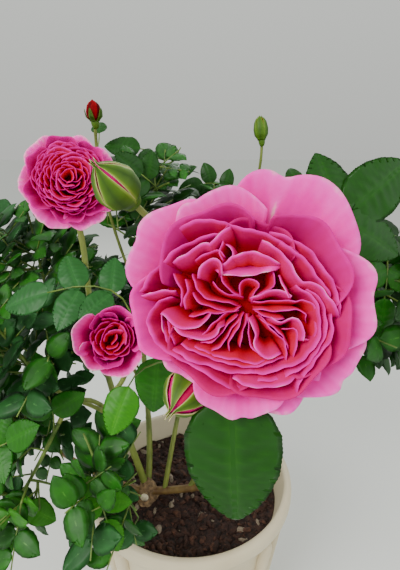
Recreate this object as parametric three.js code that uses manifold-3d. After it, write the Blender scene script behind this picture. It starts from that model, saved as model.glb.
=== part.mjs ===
// A potted rose bush: a cream ribbed pot filled with soil, a short grafted stock, arching canes,
// sprays of compound leaves, three many-petalled pink blooms and four buds.
// Millimetres, +Z up. The origin is the middle of the pot's flat underside. -Y is the front.
import * as THREE from "three";
import { mergeVertices } from "three/addons/utils/BufferGeometryUtils.js";
import Module from "manifold-3d";

const wasm = await Module();
wasm.setup();

// Clearance between neighbouring pieces, and the room kept between foliage and what it grows past
const GAP = 0.3;
const LEAF_CLEARANCE = 7;
const TWIG_CLEARANCE = 4;
const POT_CLEARANCE = 8;
const SPACE_MARGIN = 600;
const CROWDING = 4.5;
const REACH_SLACK = 1.2;

// The pot and its ribs
const RIM_RADIUS = 152;
const RIM_INNER_RADIUS = 140;
const RIM_HEIGHT = 270;
const RIM_BAND = 27;
const SHOULDER_RADIUS = 137;
const FOOT_RADIUS = 106;
const WALL = 7;
const FLOOR = 9;
const FOOT_BEVEL = 4;
const POT_SEGMENTS = 24;
const RIBS = 12;
const RIB_TURN = 18;
const RIB_TOP = 236;
const RIB_BOTTOM = 14;
const RIB_RADIUS = 9.5;
const RIB_FOOT_RADIUS = 6;
const RIB_OUTSET = 3;
const DRAINS = 4;
const DRAIN_RADIUS = 7;
const DRAIN_RING = 62;

// The soil, which lies this far under the rim
const SOIL_DROP = 35;
const SOIL_TOP = RIM_HEIGHT - SOIL_DROP;
const SOIL_SWELL = 2.5;

// The stock: the stump that all canes leave
const STOCK_FOOT = [-67, -16];
const STOCK_LEAN = [0.06, 0.03];
const STOCK_PROFILE = [[0, 20], [4, 16.5], [10, 13.5], [17, 13], [23, 11], [27, 6.5]];
const STUB_RADIUS = 7;
const STUB_FROM = [-67, -16, 247];
const STUB_TO = [-68, -34, 250];

const GOLDEN_TURN = 2.39996;
const DEGREE = Math.PI / 180;

// Limbs, stalks and twigs are drawn in straight steps with flat sides
const LIMB_SIDES = 5;
const LIMB_STEPS = 6;
const FLOWER_STALK_STEPS = 4;
const BUD_STALK_SIDES = 4;
const BUD_STALK_STEPS = 6;
const STEM_STEPS = 4;
const TWIG_SIDES = 3;
const TWIG_STEPS = 2;
const SET_STALK_STEPS = 3;

// Twigs: where they leave the stem, how long they may be as shares of the spray's reach, and their radii
const TWIGS_FROM = 0.12;
const TWIGS_OVER = 0.78;
const TWIG_SHARE = [0.5, 0.3];
const TWIG_TRIES = [1, 0.75, 0.5];
const TWIG_RADII = [1.6, 1.1];
const TWIG_WAY = [0.9, 0.4];
const TWIG_RISE = 0.25;
const TWIG_ARCH = 0.07;
const TWIG_JITTER = 0.9;
const STEM_TIP_RADIUS = 1.3;
const STALK_RADII = [1.4, 1.1];

// Leaves: the length of the end leaflet, the room along a twig for each leaf and where the first one sits,
// the weights of up, front and outward in the way that the leaves face, and the shares of the stalk at
// which pairs of leaflets sit
const LEAFLET_SIZE = [52, 12];
const LEAF_SLIMNESS = 0.7;
const LEAF_RIDGE = 0.05;
const LEAF_SPACING = 50;
const LEAF_FROM = 0.3;
const LEAF_ATTEMPTS = 5;
const LEAF_PATIENCE = 3;
const LEAFLETS_WANTED = 4;
const LEAF_WAY = [0.85, 0.5];
const LEAF_RISE = 0.2;
const LEAF_DROOP = 0.1;
const LEAF_SHRINK = 0.07;
const LEAF_SPAN = 0.85;
const SPAN_PER_PAIR = 0.35;
const FACE_WEIGHTS = [0.5, 0.5, 0.5];
const PAIRS = [[0.4, 0.72], [0.28, 0.52, 0.77]];
const THREE_PAIR_SHARE = 0.25;

// The limbs. Each leaves the side of another ("on", at a share of its length) or goes on from its tip
// ("after"). Its path is two guide points and its tip, and its radii are those of foot and tip.
const LIMBS = {
  cane_low: {
    on: "stock", from: [-62, -17, 246],
    path: [[-40, -21, 249], [-8, -27, 258], [26, -30, 268]], radii: [5.8, 5.2],
  },
  cane_main: {
    after: "cane_low",
    path: [[70, -36, 282], [78, -150, 400], [42, -214, 545]], radii: [5.2, 3.6],
  },
  cane_right: {
    on: "cane_low", at: 0.72,
    path: [[40, 0, 330], [92, 20, 420], [118, 22, 505]], radii: [4.0, 2.8],
  },
  cane_back: {
    on: "cane_low", at: 0.3,
    path: [[-24, 10, 340], [-6, 70, 410], [20, 98, 512]], radii: [3.8, 2.8],
  },
  cane_tall: {
    on: "stock", from: [-68, -15, 253],
    path: [[-82, -12, 305], [-134, 0, 470], [-112, -74, 618]], radii: [5.4, 3.2],
  },
  cane_left: {
    on: "stock", from: [-72, -16, 246],
    path: [[-102, -19, 254], [-142, -28, 288], [-172, -58, 352]], radii: [5.2, 3.2],
  },
  cane_rear: {
    on: "stock", from: [-66, -10, 251],
    path: [[-58, 34, 320], [-82, 66, 450], [-68, 42, 585]], radii: [5.0, 3.0],
  },
  bough_front: {
    on: "cane_left", at: 0.42,
    path: [[-116, -60, 294], [-108, -100, 318], [-96, -126, 338]], radii: [3.4, 2.6],
  },
  bough_half: {
    on: "cane_tall", at: 0.48,
    path: [[-100, -60, 455], [-80, -120, 480], [-62, -152, 520]], radii: [3.2, 2.4],
  },
  bough_left: {
    on: "cane_tall", at: 0.4,
    path: [[-130, -40, 420], [-150, -70, 440], [-160, -88, 470]], radii: [3.0, 2.4],
  },
  bough_high: {
    on: "cane_tall", at: 0.6,
    path: [[-140, 0, 470], [-165, 4, 500], [-178, 0, 535]], radii: [3.0, 2.4],
  },
  bough_rear: {
    on: "cane_rear", at: 0.42,
    path: [[-86, 76, 400], [-108, 90, 412], [-124, 98, 430]], radii: [3.0, 2.4],
  },
  bough_low_right: {
    on: "cane_back", at: 0.42,
    path: [[20, 60, 400], [42, 82, 408], [56, 92, 424]], radii: [2.8, 2.2],
  },
  bough_right: {
    on: "cane_right", at: 0.55,
    path: [[92, -18, 430], [122, -70, 470], [150, -98, 512]], radii: [3.0, 2.4],
  },
  bough_arch: {
    on: "cane_tall", at: 0.3,
    path: [[-104, -40, 410], [-116, -112, 500], [-137, -138, 458]], radii: [3.2, 2.4],
  },
};

// The spaces of the foliage: each spray grows on from a bough's tip, through its heart to its crest
const SPRAYS = {
  spray_left_low: {
    bough: "cane_left", heart: [-188, -80, 405], crest: [-212, -118, 452],
    reach: 88, twigs: 4, seed: 11,
  },
  spray_front: {
    bough: "bough_front", heart: [-94, -150, 385], crest: [-86, -176, 430],
    reach: 74, twigs: 4, seed: 23,
  },
  spray_left: {
    bough: "bough_left", heart: [-178, -112, 525], crest: [-192, -136, 575],
    reach: 84, twigs: 4, seed: 37,
  },
  spray_left_high: {
    bough: "bough_high", heart: [-192, 6, 600], crest: [-204, 8, 668],
    reach: 90, twigs: 3, seed: 41,
  },
  spray_rear_left: {
    bough: "bough_rear", heart: [-150, 112, 490], crest: [-176, 128, 560],
    reach: 96, twigs: 3, seed: 53,
  },
  spray_crest: {
    bough: "cane_rear", heart: [-62, 34, 665], crest: [-46, 20, 726],
    reach: 78, twigs: 3, seed: 67,
  },
  spray_rear: {
    bough: "cane_back", heart: [30, 112, 600], crest: [66, 120, 664],
    reach: 92, twigs: 3, seed: 71,
  },
  spray_rear_low: {
    bough: "bough_low_right", heart: [84, 112, 470], crest: [112, 128, 505],
    reach: 84, twigs: 3, seed: 83,
  },
  spray_right: {
    bough: "cane_right", heart: [140, 28, 590], crest: [150, 44, 668],
    reach: 92, twigs: 3, seed: 97,
  },
  spray_right_front: {
    bough: "bough_right", heart: [184, -108, 585], crest: [190, -112, 652],
    reach: 84, twigs: 3, seed: 101,
  },
  spray_arch: {
    bough: "bough_arch", heart: [-172, -160, 388], crest: [-205, -174, 350],
    reach: 66, twigs: 4, seed: 113,
  },
};

// The blooms: each has a stalk that goes on from a limb to the back of its hip, the place of its eye, the
// way that it faces, its depth from eye to hip, and the ball that foliage keeps out of
const BLOOMS = {
  bloom_main: {
    after: "cane_main", path: [[36, -236, 600], [46, -252, 634]],
    eye: [35, -325, 666], facing: [-0.11, -0.93, 0.34], depth: 56, radii: [3.6, 3.4],
    heart: [46, -292, 655], reach: 95,
  },
  bloom_second: {
    after: "cane_tall", path: [[-104, -86, 648], [-113, -84, 668]],
    eye: [-104, -124, 712], facing: [0.28, -0.9, 0.33], depth: 50, radii: [3.2, 3.0],
    heart: [-108, -108, 705], reach: 62,
  },
  bloom_half: {
    after: "bough_half", path: [[-52, -172, 545], [-52, -180, 556]],
    eye: [-55, -216, 594], facing: [0.16, -0.88, 0.4], depth: 46, radii: [2.4, 2.6],
    heart: [-74, -200, 588], reach: 84,
  },
};

// A gap in the foliage that leaves the foot of the plant open to view: points of its middle line, from the
// soil up to the front, with its radius there
const OPEN_VIEW = [[[-26, -27, 270], 36], [[-12, -233, 484], 32], [[-6, -298, 544], 22]];

// The buds: each has a stalk that leaves the side of a limb, and a base, a tip and a width
const BUDS = {
  bud_upper: {
    on: "bloom_main", at: 0.25, path: [[22, -222, 640], [-14, -230, 686]], base: [-29, -252, 705],
    tip: [-42, -273, 725], width: 27, radii: [2.2, 2.2], heart: [-36, -263, 715], reach: 26,
  },
  bud_lower: {
    on: "bloom_main", at: 0.12, path: [[38, -250, 594], [26, -274, 611]], base: [12, -301, 610],
    tip: [0, -327, 608], width: 26, radii: [2.4, 2.2], heart: [6, -314, 610], reach: 22,
  },
  bud_red: {
    on: "cane_rear", at: 0.86, path: [[-100, 10, 640], [-104, -30, 710]], base: [-97, -43, 764],
    tip: [-98, -44, 785], width: 17, radii: [2.0, 1.7], heart: [-98, -44, 775], reach: 16,
  },
  bud_green: {
    on: "cane_back", at: 0.72, path: [[60, 96, 600], [98, 44, 680]], base: [91, 32, 748],
    tip: [88, 34, 775], width: 16, radii: [2.0, 1.7], heart: [89, 33, 763], reach: 16,
  },
};

// Leaves that show plainly. Each leaves its owner's stem at a share of its length, along two guide points
// to its end. Its end leaflet has the size given, and its pairs sit at shares of its stalk.
const SET_LEAVES = [
  {
    of: "bloom_main", at: 0.5, path: [[40, -262, 600], [29, -317, 638], [30, -322, 613]],
    size: 74, pairs: [], face: [-0.1, -1, 0.1],
  },
  {
    of: "bloom_main", at: 0.75, path: [[76, -236, 664], [102, -206, 672], [124, -200, 690]],
    size: 62, pairs: [0.9], face: [0.1, -1, 0.35],
  },
  {
    of: "bloom_main", at: 0.06, path: [[14, -200, 575], [-36, -196, 572], [-46, -209, 547]],
    size: 42, pairs: [], face: [-0.1, -1, 0.3],
  },
  {
    of: "bloom_main", at: 0.12, path: [[22, -206, 590], [-22, -170, 590], [-25, -176, 557]],
    size: 54, pairs: [], face: [0.1, -1, 0.3],
  },
  {
    of: "bloom_half", at: 0.4, path: [[-36, -158, 600], [-52, -164, 636], [-121, -165, 615]],
    size: 46, pairs: [0.6, 0.82], face: [0.1, -0.75, 0.8],
  },
  {
    of: "spray_front", at: 0.7, path: [[-96, -168, 432], [-92, -180, 418], [-79, -192, 384]],
    size: 36, pairs: [0.42, 0.78], face: [0, -0.9, 0.55],
  },
  {
    of: "spray_arch", at: 0.1, path: [[-138, -141, 470], [-142, -138, 480], [-146, -134, 492]],
    size: 46, pairs: [0.5], face: [0, -1, 0.2],
  },
  {
    of: "spray_arch", at: 0.7, path: [[-180, -168, 384], [-178, -170, 386], [-170, -170, 380]],
    size: 38, pairs: [], face: [0.1, -0.8, 0.6],
  },
  {
    of: "spray_left_low", at: 0.75, path: [[-216, -126, 432], [-208, -168, 440], [-176, -172, 461]],
    size: 44, pairs: [0.8], face: [0, -0.8, 0.6],
  },
  {
    of: "spray_rear", at: 0.96, path: [[60, 112, 690], [36, 106, 694], [18, 106, 690]],
    size: 38, pairs: [0.4, 0.76], face: [0, -0.95, 0.3],
  },
  {
    of: "spray_crest", at: 0.66, path: [[-34, 8, 690], [-30, -20, 690], [-52, -32, 710]],
    size: 38, pairs: [0.86], face: [0.2, -0.9, 0.3],
  },
  {
    of: "spray_crest", at: 1, path: [[-46, 22, 732], [-50, 26, 737], [-60, 26, 738]],
    size: 46, pairs: [], face: [0, -0.8, 0.6],
  },
  {
    of: "spray_right", at: 0.98, path: [[152, 56, 680], [152, 66, 684], [150, 72, 690]],
    size: 36, pairs: [0.5], face: [0, -0.95, 0.3],
  },
  {
    of: "spray_right_front", at: 0.96, path: [[188, -130, 664], [188, -146, 640], [184, -152, 604]],
    size: 44, pairs: [0.36, 0.72], face: [0.2, -0.95, 0.25],
  },
  {
    of: "bud_red", at: 0.84, path: [[-102, -16, 740], [-104, 0, 748], [-106, 10, 755]],
    size: 28, pairs: [], face: [0, -0.8, 0.6],
  },
];

// Petals. A flower's outer petals stand round its eye: the turn of each about the eye, half its spread,
// its reach from the eye, how far its lip stands forward, and how flat it lies open, from 0 to 1.
const GUARD_PETALS = {
  bloom_main: [
    [60, 38, 73, -16, 1], [110, 33, 59, -10, 0.9], [147, 33, 67, -12, 0.9], [4, 32, 63, -8, 0.8],
    [-33, 30, 63, -12, 0.9], [-66, 30, 58, -14, 1], [-92, 30, 58, -8, 0.9], [-134, 30, 50, -8, 0.8],
    [-168, 32, 57, -4, 0.7], [36, 40, 52, -2, 0.5], [128, 44, 50, -2, 0.5],
  ],
  bloom_second: [
    [20, 36, 48, -12, 0.9], [75, 34, 44, -10, 0.9], [130, 36, 47, -12, 0.9], [184, 34, 46, -12, 0.9],
    [236, 36, 48, -14, 1], [290, 36, 47, -10, 0.9], [335, 32, 46, -10, 0.9],
  ],
  bloom_half: [
    [165, 44, 30, 4, 0.5], [70, 44, 26, 6, 0.4], [-70, 46, 30, 0, 0.5], [10, 44, 26, 4, 0.4],
    [-140, 40, 27, 2, 0.5],
  ],
};

// The folded inner petals stand in sectors about the eye, one inside the other
const ROSETTES = {
  bloom_main: { sectors: [5, 78, 150, 222, 292], spread: 33, reach: 43, inner: 5, rows: 2, floor: -16 },
  bloom_second: { sectors: [30, 102, 174, 246, 318], spread: 33, reach: 33, inner: 4, rows: 1, floor: -14 },
  bloom_half: { sectors: [40, 160, 280], spread: 52, reach: 17, inner: 3, rows: 1, floor: -12 },
};
const PETAL_THICK = 1.1;
const PETAL_START = 0.3;
const HIP_RADIUS = 6.5;
const HIP_LENGTH = 12;
const SEPALS = 5;

const UP = new THREE.Vector3(0, 0, 1);
const FRONT = new THREE.Vector3(0, -1, 0);
const CROWN_HEART = new THREE.Vector3(-20, -20, 420);

// Colours: plain stand-ins for each kind of surface
const POT_MATERIAL = new THREE.MeshStandardMaterial({ color: 0xd8ccb0, roughness: 0.55, metalness: 0 });
const SOIL_MATERIAL = new THREE.MeshStandardMaterial({ color: 0x3a2a20, roughness: 0.95, metalness: 0 });
const STOCK_MATERIAL = new THREE.MeshStandardMaterial({ color: 0x7a6244, roughness: 0.85, metalness: 0 });
const CANE_MATERIAL = new THREE.MeshStandardMaterial({ color: 0x7c8a3a, roughness: 0.6, metalness: 0 });
const LEAF_MATERIAL = new THREE.MeshStandardMaterial({ color: 0x2f5d2a, roughness: 0.5, metalness: 0 });
const BLOOM_MATERIAL = new THREE.MeshStandardMaterial({ color: 0xe0327f, roughness: 0.6, metalness: 0 });
const BUD_MATERIAL = new THREE.MeshStandardMaterial({ color: 0x7f8f3c, roughness: 0.6, metalness: 0 });

const vector = (xyz) => new THREE.Vector3(...xyz);

// Repeatable randomness: the same seed always gives the same draws, from 0 to 1
function seeded(seed) {
  let state = seed;
  return () => {
    state = (Math.imul(state, 1664525) + 1013904223) >>> 0;
    return state / 4294967296;
  };
}

// A closed geometry as a solid that can be joined and cut
function solid(geometry) {
  const bare = geometry.index ? geometry : mergeVertices(geometry);
  bare.deleteAttribute("normal");
  bare.deleteAttribute("uv");
  const merged = mergeVertices(bare, 1e-4);
  const mesh = new wasm.Mesh({
    numProp: 3,
    vertProperties: new Float32Array(merged.attributes.position.array),
    triVerts: new Uint32Array(merged.index.array),
  });
  return new wasm.Manifold(mesh);
}

// A solid as a geometry that can be shown. Loose scraps and sealed hollows are dropped.
function geometryOf(shape) {
  const largest = shape.decompose().sort((a, b) => b.volume() - a.volume())[0];
  const mesh = largest.getMesh();
  const geometry = new THREE.BufferGeometry();
  geometry.setAttribute("position", new THREE.BufferAttribute(new Float32Array(mesh.vertProperties), 3));
  geometry.setIndex(new THREE.BufferAttribute(new Uint32Array(mesh.triVerts), 1));
  geometry.computeVertexNormals();
  return geometry;
}

// All solids in a list joined into one
function fuse(solids) {
  return wasm.Manifold.union(solids);
}

const clump = new THREE.Group();

function addPiece(name, shape, material) {
  const mesh = new THREE.Mesh(geometryOf(shape), material);
  mesh.name = name;
  clump.add(mesh);
  return mesh;
}

// Square frames at equal steps of a curve, each turned as little as it can be from the one before
function framesAlong(curve, steps) {
  const first = curve.getTangent(0);
  const start = Math.abs(first.z) < 0.9 ? UP : new THREE.Vector3(1, 0, 0);
  const normals = [start.clone().cross(first).normalize()];
  const binormals = [first.clone().cross(normals[0])];
  for (let k = 1; k <= steps; k++) {
    const tangent = curve.getTangent(k / steps);
    const normal = normals[k - 1].clone().addScaledVector(tangent, -normals[k - 1].dot(tangent)).normalize();
    normals.push(normal);
    binormals.push(tangent.clone().cross(normal));
  }
  return { normals, binormals };
}

// A point on a curve as it is drawn, in straight steps
function drawnPoint(curve, steps, share) {
  const step = Math.min(steps - 1, Math.floor(share * steps));
  const from = curve.getPoint(step / steps);
  return from.lerp(curve.getPoint((step + 1) / steps), share * steps - step);
}

// A closed, tapering bar along a curve, with three or more sides
function taperedBar(curve, footRadius, tipRadius, sides, steps) {
  const section = new THREE.Shape();
  for (let k = 0; k < sides; k++) {
    const turn = (k * 2 * Math.PI) / sides;
    const corner = [Math.cos(turn), Math.sin(turn)];
    if (k === 0) section.moveTo(...corner);
    else section.lineTo(...corner);
  }
  section.closePath();
  const geometry = new THREE.ExtrudeGeometry(section, { depth: 1, steps, bevelEnabled: false });
  const frames = framesAlong(curve, steps);
  const position = geometry.attributes.position;
  for (let i = 0; i < position.count; i++) {
    const share = position.getZ(i);
    const step = Math.round(share * steps);
    const radius = footRadius + (tipRadius - footRadius) * share;
    const point = curve.getPoint(share)
      .addScaledVector(frames.normals[step], radius * position.getX(i))
      .addScaledVector(frames.binormals[step], radius * position.getY(i));
    position.setXYZ(i, point.x, point.y, point.z);
  }
  return geometry;
}

// The pot, turned on a lathe, with ribs on its wall and drain holes in its floor
function makePot() {
  const slope = (SHOULDER_RADIUS - FOOT_RADIUS) / (RIM_HEIGHT - RIM_BAND);
  const outline = [
    [0, 0], [FOOT_RADIUS - FOOT_BEVEL, 0], [FOOT_RADIUS, FOOT_BEVEL],
    [SHOULDER_RADIUS, RIM_HEIGHT - RIM_BAND], [RIM_RADIUS, RIM_HEIGHT - RIM_BAND + 8],
    [RIM_RADIUS, RIM_HEIGHT - 6], [RIM_RADIUS - 5, RIM_HEIGHT], [RIM_INNER_RADIUS + 2, RIM_HEIGHT],
    [RIM_INNER_RADIUS, RIM_HEIGHT - 4],
    [SHOULDER_RADIUS - WALL, RIM_HEIGHT - RIM_BAND - 8], [FOOT_RADIUS - WALL, FLOOR], [0, FLOOR],
  ];
  const wall = new THREE.LatheGeometry(outline.map(([r, z]) => new THREE.Vector2(r, z)), POT_SEGMENTS);
  wall.rotateX(Math.PI / 2);
  let pot = solid(wall);

  const height = RIB_TOP - RIB_BOTTOM;
  const reed = [
    [0, 0], [RIB_FOOT_RADIUS, 0], [RIB_RADIUS, height - RIB_RADIUS],
    [RIB_RADIUS * 0.75, height - RIB_RADIUS * 0.35], [0, height],
  ];
  const rib = new THREE.LatheGeometry(reed.map(([r, z]) => new THREE.Vector2(r, z)), 6);
  rib.rotateX(Math.PI / 2);
  const ribs = [];
  for (let k = 0; k < RIBS; k++) {
    const copy = rib.clone();
    copy.rotateY(Math.atan(slope));
    copy.translate(FOOT_RADIUS + RIB_OUTSET + slope * RIB_BOTTOM, 0, RIB_BOTTOM);
    copy.rotateZ(((RIB_TURN + (k * 360) / RIBS) * Math.PI) / 180);
    ribs.push(solid(copy));
  }
  pot = fuse([pot, ...ribs]);

  const drill = new THREE.CylinderGeometry(DRAIN_RADIUS, DRAIN_RADIUS, FLOOR * 3, 8);
  drill.rotateX(Math.PI / 2);
  for (let k = 0; k < DRAINS; k++) {
    const turn = ((k + 0.5) * 2 * Math.PI) / DRAINS;
    const hole = drill.clone().translate(DRAIN_RING * Math.cos(turn), DRAIN_RING * Math.sin(turn), 0);
    pot = pot.subtract(solid(hole));
  }
  return pot;
}

// The soil fills the pot to just under its wall, with a slightly uneven top that is flat under the stock
function makeSoil() {
  const slope = (SHOULDER_RADIUS - FOOT_RADIUS) / (RIM_HEIGHT - RIM_BAND - 8 - FLOOR);
  const clear = GAP * 2;
  const topRadius = FOOT_RADIUS - WALL + slope * (SOIL_TOP - 3 - FLOOR) - clear;
  const rings = [topRadius - 10, topRadius * 0.75, topRadius * 0.5, topRadius * 0.25, 0];
  const outline = [
    [0, FLOOR + GAP], [FOOT_RADIUS - WALL - clear, FLOOR + GAP], [topRadius, SOIL_TOP - 3],
    ...rings.map((radius) => [radius, SOIL_TOP]),
  ];
  const geometry = new THREE.LatheGeometry(outline.map(([r, z]) => new THREE.Vector2(r, z)), POT_SEGMENTS);
  geometry.rotateX(Math.PI / 2);
  const position = geometry.attributes.position;
  for (let i = 0; i < position.count; i++) {
    const [x, y, z] = [position.getX(i), position.getY(i), position.getZ(i)];
    if (z < SOIL_TOP - 1) continue;
    const fromStock = Math.hypot(x - STOCK_FOOT[0], y - STOCK_FOOT[1]);
    const fade = Math.min(1, Math.max(0, (fromStock - 30) / 30));
    const swell = Math.sin(x * 0.061 + 1) * Math.cos(y * 0.073) + 0.5 * Math.sin(x * 0.13 - y * 0.11);
    position.setZ(i, SOIL_TOP + (fade * SOIL_SWELL * (swell - 1.5)) / 1.5);
  }
  return solid(geometry);
}

// The stock, from a flat cut at soil level, with its pruned stub. Extra makes it larger all round.
function makeStock(extra = 0) {
  const foot = SOIL_TOP + GAP - extra;
  const outline = STOCK_PROFILE.map(([z, r]) => new THREE.Vector2(r + extra, z + (z > 0 ? 2 * extra : 0)));
  outline.unshift(new THREE.Vector2(0, 0));
  outline.push(new THREE.Vector2(0, STOCK_PROFILE.at(-1)[0] + 2 + 2 * extra));
  const body = new THREE.LatheGeometry(outline, 12);
  body.rotateX(Math.PI / 2);
  const position = body.attributes.position;
  for (let i = 0; i < position.count; i++) {
    const z = position.getZ(i);
    const lump = 1 + 0.12 * Math.sin(3 * Math.atan2(position.getY(i), position.getX(i)) + z * 0.1);
    position.setX(i, position.getX(i) * lump + STOCK_FOOT[0] + STOCK_LEAN[0] * z);
    position.setY(i, position.getY(i) * lump + STOCK_FOOT[1] + STOCK_LEAN[1] * z);
    position.setZ(i, z + foot);
  }
  const from = vector(STUB_FROM);
  const to = vector(STUB_TO);
  to.addScaledVector(to.clone().sub(from).normalize(), extra);
  const stub = taperedBar(new THREE.LineCurve3(from, to), STUB_RADIUS + extra, STUB_RADIUS + extra, 10, 1);
  return fuse([solid(body), solid(stub)]);
}

// The limbs are made in order, each cut by the one that it leaves, and kept as chains of thick points
// that foliage stays clear of
const limbs = {};
const chains = [];

function addLimb(name, definition, sides, steps) {
  const { on, at, from, after, path, radii } = definition;
  let start;
  const guides = path.map(vector);
  if (after) {
    const before = limbs[after].curve;
    const onward = before.getTangent(1);
    start = before.getPoint(1).addScaledVector(onward, GAP);
    guides[0] = start.clone().addScaledVector(onward, start.distanceTo(guides[0]));
  } else {
    start = from ? vector(from) : drawnPoint(limbs[on].curve, limbs[on].steps, at);
  }
  const curve = new THREE.CubicBezierCurve3(start, ...guides);
  limbs[name] = { curve, radii, sides, steps, on };
  const points = [];
  for (let i = 0; i <= 2 * steps; i++) {
    const share = i / (2 * steps);
    points.push({ at: curve.getPoint(share), radius: radii[0] + (radii[1] - radii[0]) * share });
  }
  chains.push({ name, points });
  return limbs[name];
}

// What a limb takes from the side of the one that it leaves
function cutByParent(shape, on) {
  if (!on) return shape;
  if (on === "stock") return shape.subtract(makeStock(GAP));
  const parent = limbs[on];
  const [foot, tip] = parent.radii;
  return shape.subtract(solid(taperedBar(parent.curve, foot + GAP, tip + GAP, parent.sides, parent.steps)));
}

function limbSolid(name) {
  const { curve, radii, sides, steps, on } = limbs[name];
  return cutByParent(solid(taperedBar(curve, ...radii, sides, steps)), on);
}

// Every space that foliage or a flower keeps to
const spaces = { ...SPRAYS, ...BLOOMS, ...BUDS };
for (const space of Object.values(spaces)) space.middle = vector(space.heart);

// How far inside a space's own share of the crown a point lies, against every other space
function insideSpace(point, name) {
  const own = point.distanceToSquared(spaces[name].middle) - spaces[name].reach ** 2;
  for (const [other, space] of Object.entries(spaces)) {
    if (other === name) continue;
    if (own + SPACE_MARGIN > point.distanceToSquared(space.middle) - space.reach ** 2) return false;
  }
  return true;
}

function distanceToChain(point, points) {
  let nearest = Infinity;
  for (let i = 1; i < points.length; i++) {
    const a = points[i - 1].at;
    const span = points[i].at.clone().sub(a);
    const share = Math.min(1, Math.max(0, point.clone().sub(a).dot(span) / span.lengthSq()));
    const distance = point.distanceTo(a.clone().addScaledVector(span, share)) - points[i].radius;
    nearest = Math.min(nearest, distance);
  }
  return nearest;
}

function clearOfPot(point) {
  const radius = Math.hypot(point.x, point.y);
  const overSoil = point.z > SOIL_TOP + POT_CLEARANCE;
  const inside = radius < RIM_INNER_RADIUS - 2 * POT_CLEARANCE && overSoil;
  return inside || point.z > RIM_HEIGHT + POT_CLEARANCE || radius > RIM_RADIUS + POT_CLEARANCE;
}

// Whether a point may hold foliage of a space
function isFree(point, name, clearance) {
  if (point.distanceTo(spaces[name].middle) > spaces[name].reach * REACH_SLACK) return false;
  if (!clearOfPot(point) || !insideSpace(point, name)) return false;
  return chains.every((chain) => distanceToChain(point, chain.points) > clearance);
}

// The outline of a leaflet from its base, and the places that are looked at to see whether it is free: each
// a share of its length and a share of its half width
const LEAFLET_OUTLINE = [[0, 0], [0.3, 0.92], [0.68, 0.86], [1, 0], [0.68, -0.86], [0.3, -0.92]];
const PROBES = [
  ...LEAFLET_OUTLINE, [0.15, 0.4], [0.15, -0.4], [0.3, 0], [0.3, 0.45], [0.3, -0.45], [0.5, 0], [0.5, 0.9],
  [0.5, -0.9], [0.5, 0.45], [0.5, -0.45], [0.68, 0], [0.85, 0.4], [0.85, -0.4],
];

function probesOf(leaflet) {
  return PROBES.map(([along, across]) => leaflet.base.clone()
    .addScaledVector(leaflet.along, leaflet.length * along)
    .addScaledVector(leaflet.across, (leaflet.width / 2) * across));
}

// A leaflet from its base, its direction and the way that its upper face looks
function makeLeaflet(base, direction, face, length, width) {
  const along = direction.clone().normalize();
  const across = face.clone().cross(along).normalize();
  const normal = along.clone().cross(across).normalize();
  return { base, along, across, normal, length, width };
}

// A leaflet's blade: flat below and ridged above
function bladeSolid(leaflet) {
  const { base, along, across, normal, length, width } = leaflet;
  const place = (u, v, n) => base.clone()
    .addScaledVector(along, length * u).addScaledVector(across, (width / 2) * v).addScaledVector(normal, n);
  const corners = LEAFLET_OUTLINE.map(([u, v]) => place(u, v, 0));
  corners.push(place(0.45, 0, length * LEAF_RIDGE));
  const top = corners.length - 1;
  const faces = LEAFLET_OUTLINE.flatMap((_, k) => [k, top, (k + 1) % top]);
  faces.push(0, 1, 5, 1, 2, 5, 2, 4, 5, 2, 3, 4);
  const geometry = new THREE.BufferGeometry();
  geometry.setAttribute("position", new THREE.Float32BufferAttribute(corners.flatMap((p) => p.toArray()), 3));
  geometry.setIndex(faces);
  return solid(geometry);
}

// A compound leaf: a slender stalk with a leaflet at its end and pairs of leaflets along it
function leafOn(stalk, steps, face, size, pairs) {
  const tip = drawnPoint(stalk, steps, 0.985);
  const leaflets = [makeLeaflet(tip, stalk.getTangent(1), face, size, size * LEAF_SLIMNESS)];
  pairs.forEach((place, order) => {
    const tangent = stalk.getTangent(place);
    const aside = face.clone().cross(tangent).normalize();
    const length = size * (0.72 + (0.16 * (order + 1)) / pairs.length);
    const base = drawnPoint(stalk, steps, place);
    for (const side of [1, -1]) {
      const way = tangent.clone().multiplyScalar(0.38).addScaledVector(aside, side * 0.92);
      leaflets.push(makeLeaflet(base, way, face, length, length * LEAF_SLIMNESS));
    }
  });
  return { stalk, steps, leaflets };
}

// A direction that leaves a tangent to one side, at a turn about it
function sideways(tangent, turn, outward, onward) {
  const level = tangent.clone().cross(UP);
  if (level.lengthSq() < 1e-6) level.set(1, 0, 0);
  level.normalize();
  const rise = level.clone().cross(tangent).normalize();
  return level.multiplyScalar(Math.cos(turn) * outward).addScaledVector(rise, Math.sin(turn) * outward)
    .addScaledVector(tangent, onward);
}

// The stem of a spray goes on from its bough's tip, through its heart to its crest
function sprayStem(name) {
  const { bough, crest, middle } = SPRAYS[name];
  const before = limbs[bough].curve;
  const tangent = before.getTangent(1);
  const start = before.getPoint(1).addScaledVector(tangent, GAP);
  const end = vector(crest);
  const lead = start.clone().addScaledVector(tangent, start.distanceTo(end) / 3);
  const curve = new THREE.CubicBezierCurve3(start, lead, middle.clone(), end);
  const radii = [limbs[bough].radii[1], STEM_TIP_RADIUS];
  return { curve, steps: STEM_STEPS, radii, length: start.distanceTo(end) };
}

// A twig from the stem, shortened until it is free, or nothing
function growTwig(foot, way, length, name) {
  for (const share of TWIG_TRIES) {
    const reach = length * share;
    const bend = foot.clone().addScaledVector(way, reach / 2).addScaledVector(UP, reach * TWIG_ARCH);
    const curve = new THREE.QuadraticBezierCurve3(foot, bend, foot.clone().addScaledVector(way, reach));
    if ([0.4, 0.55, 0.7, 0.85, 1].every((t) => isFree(curve.getPoint(t), name, TWIG_CLEARANCE))) {
      return { curve, steps: TWIG_STEPS, radii: TWIG_RADII, length: reach };
    }
  }
  return null;
}

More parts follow.
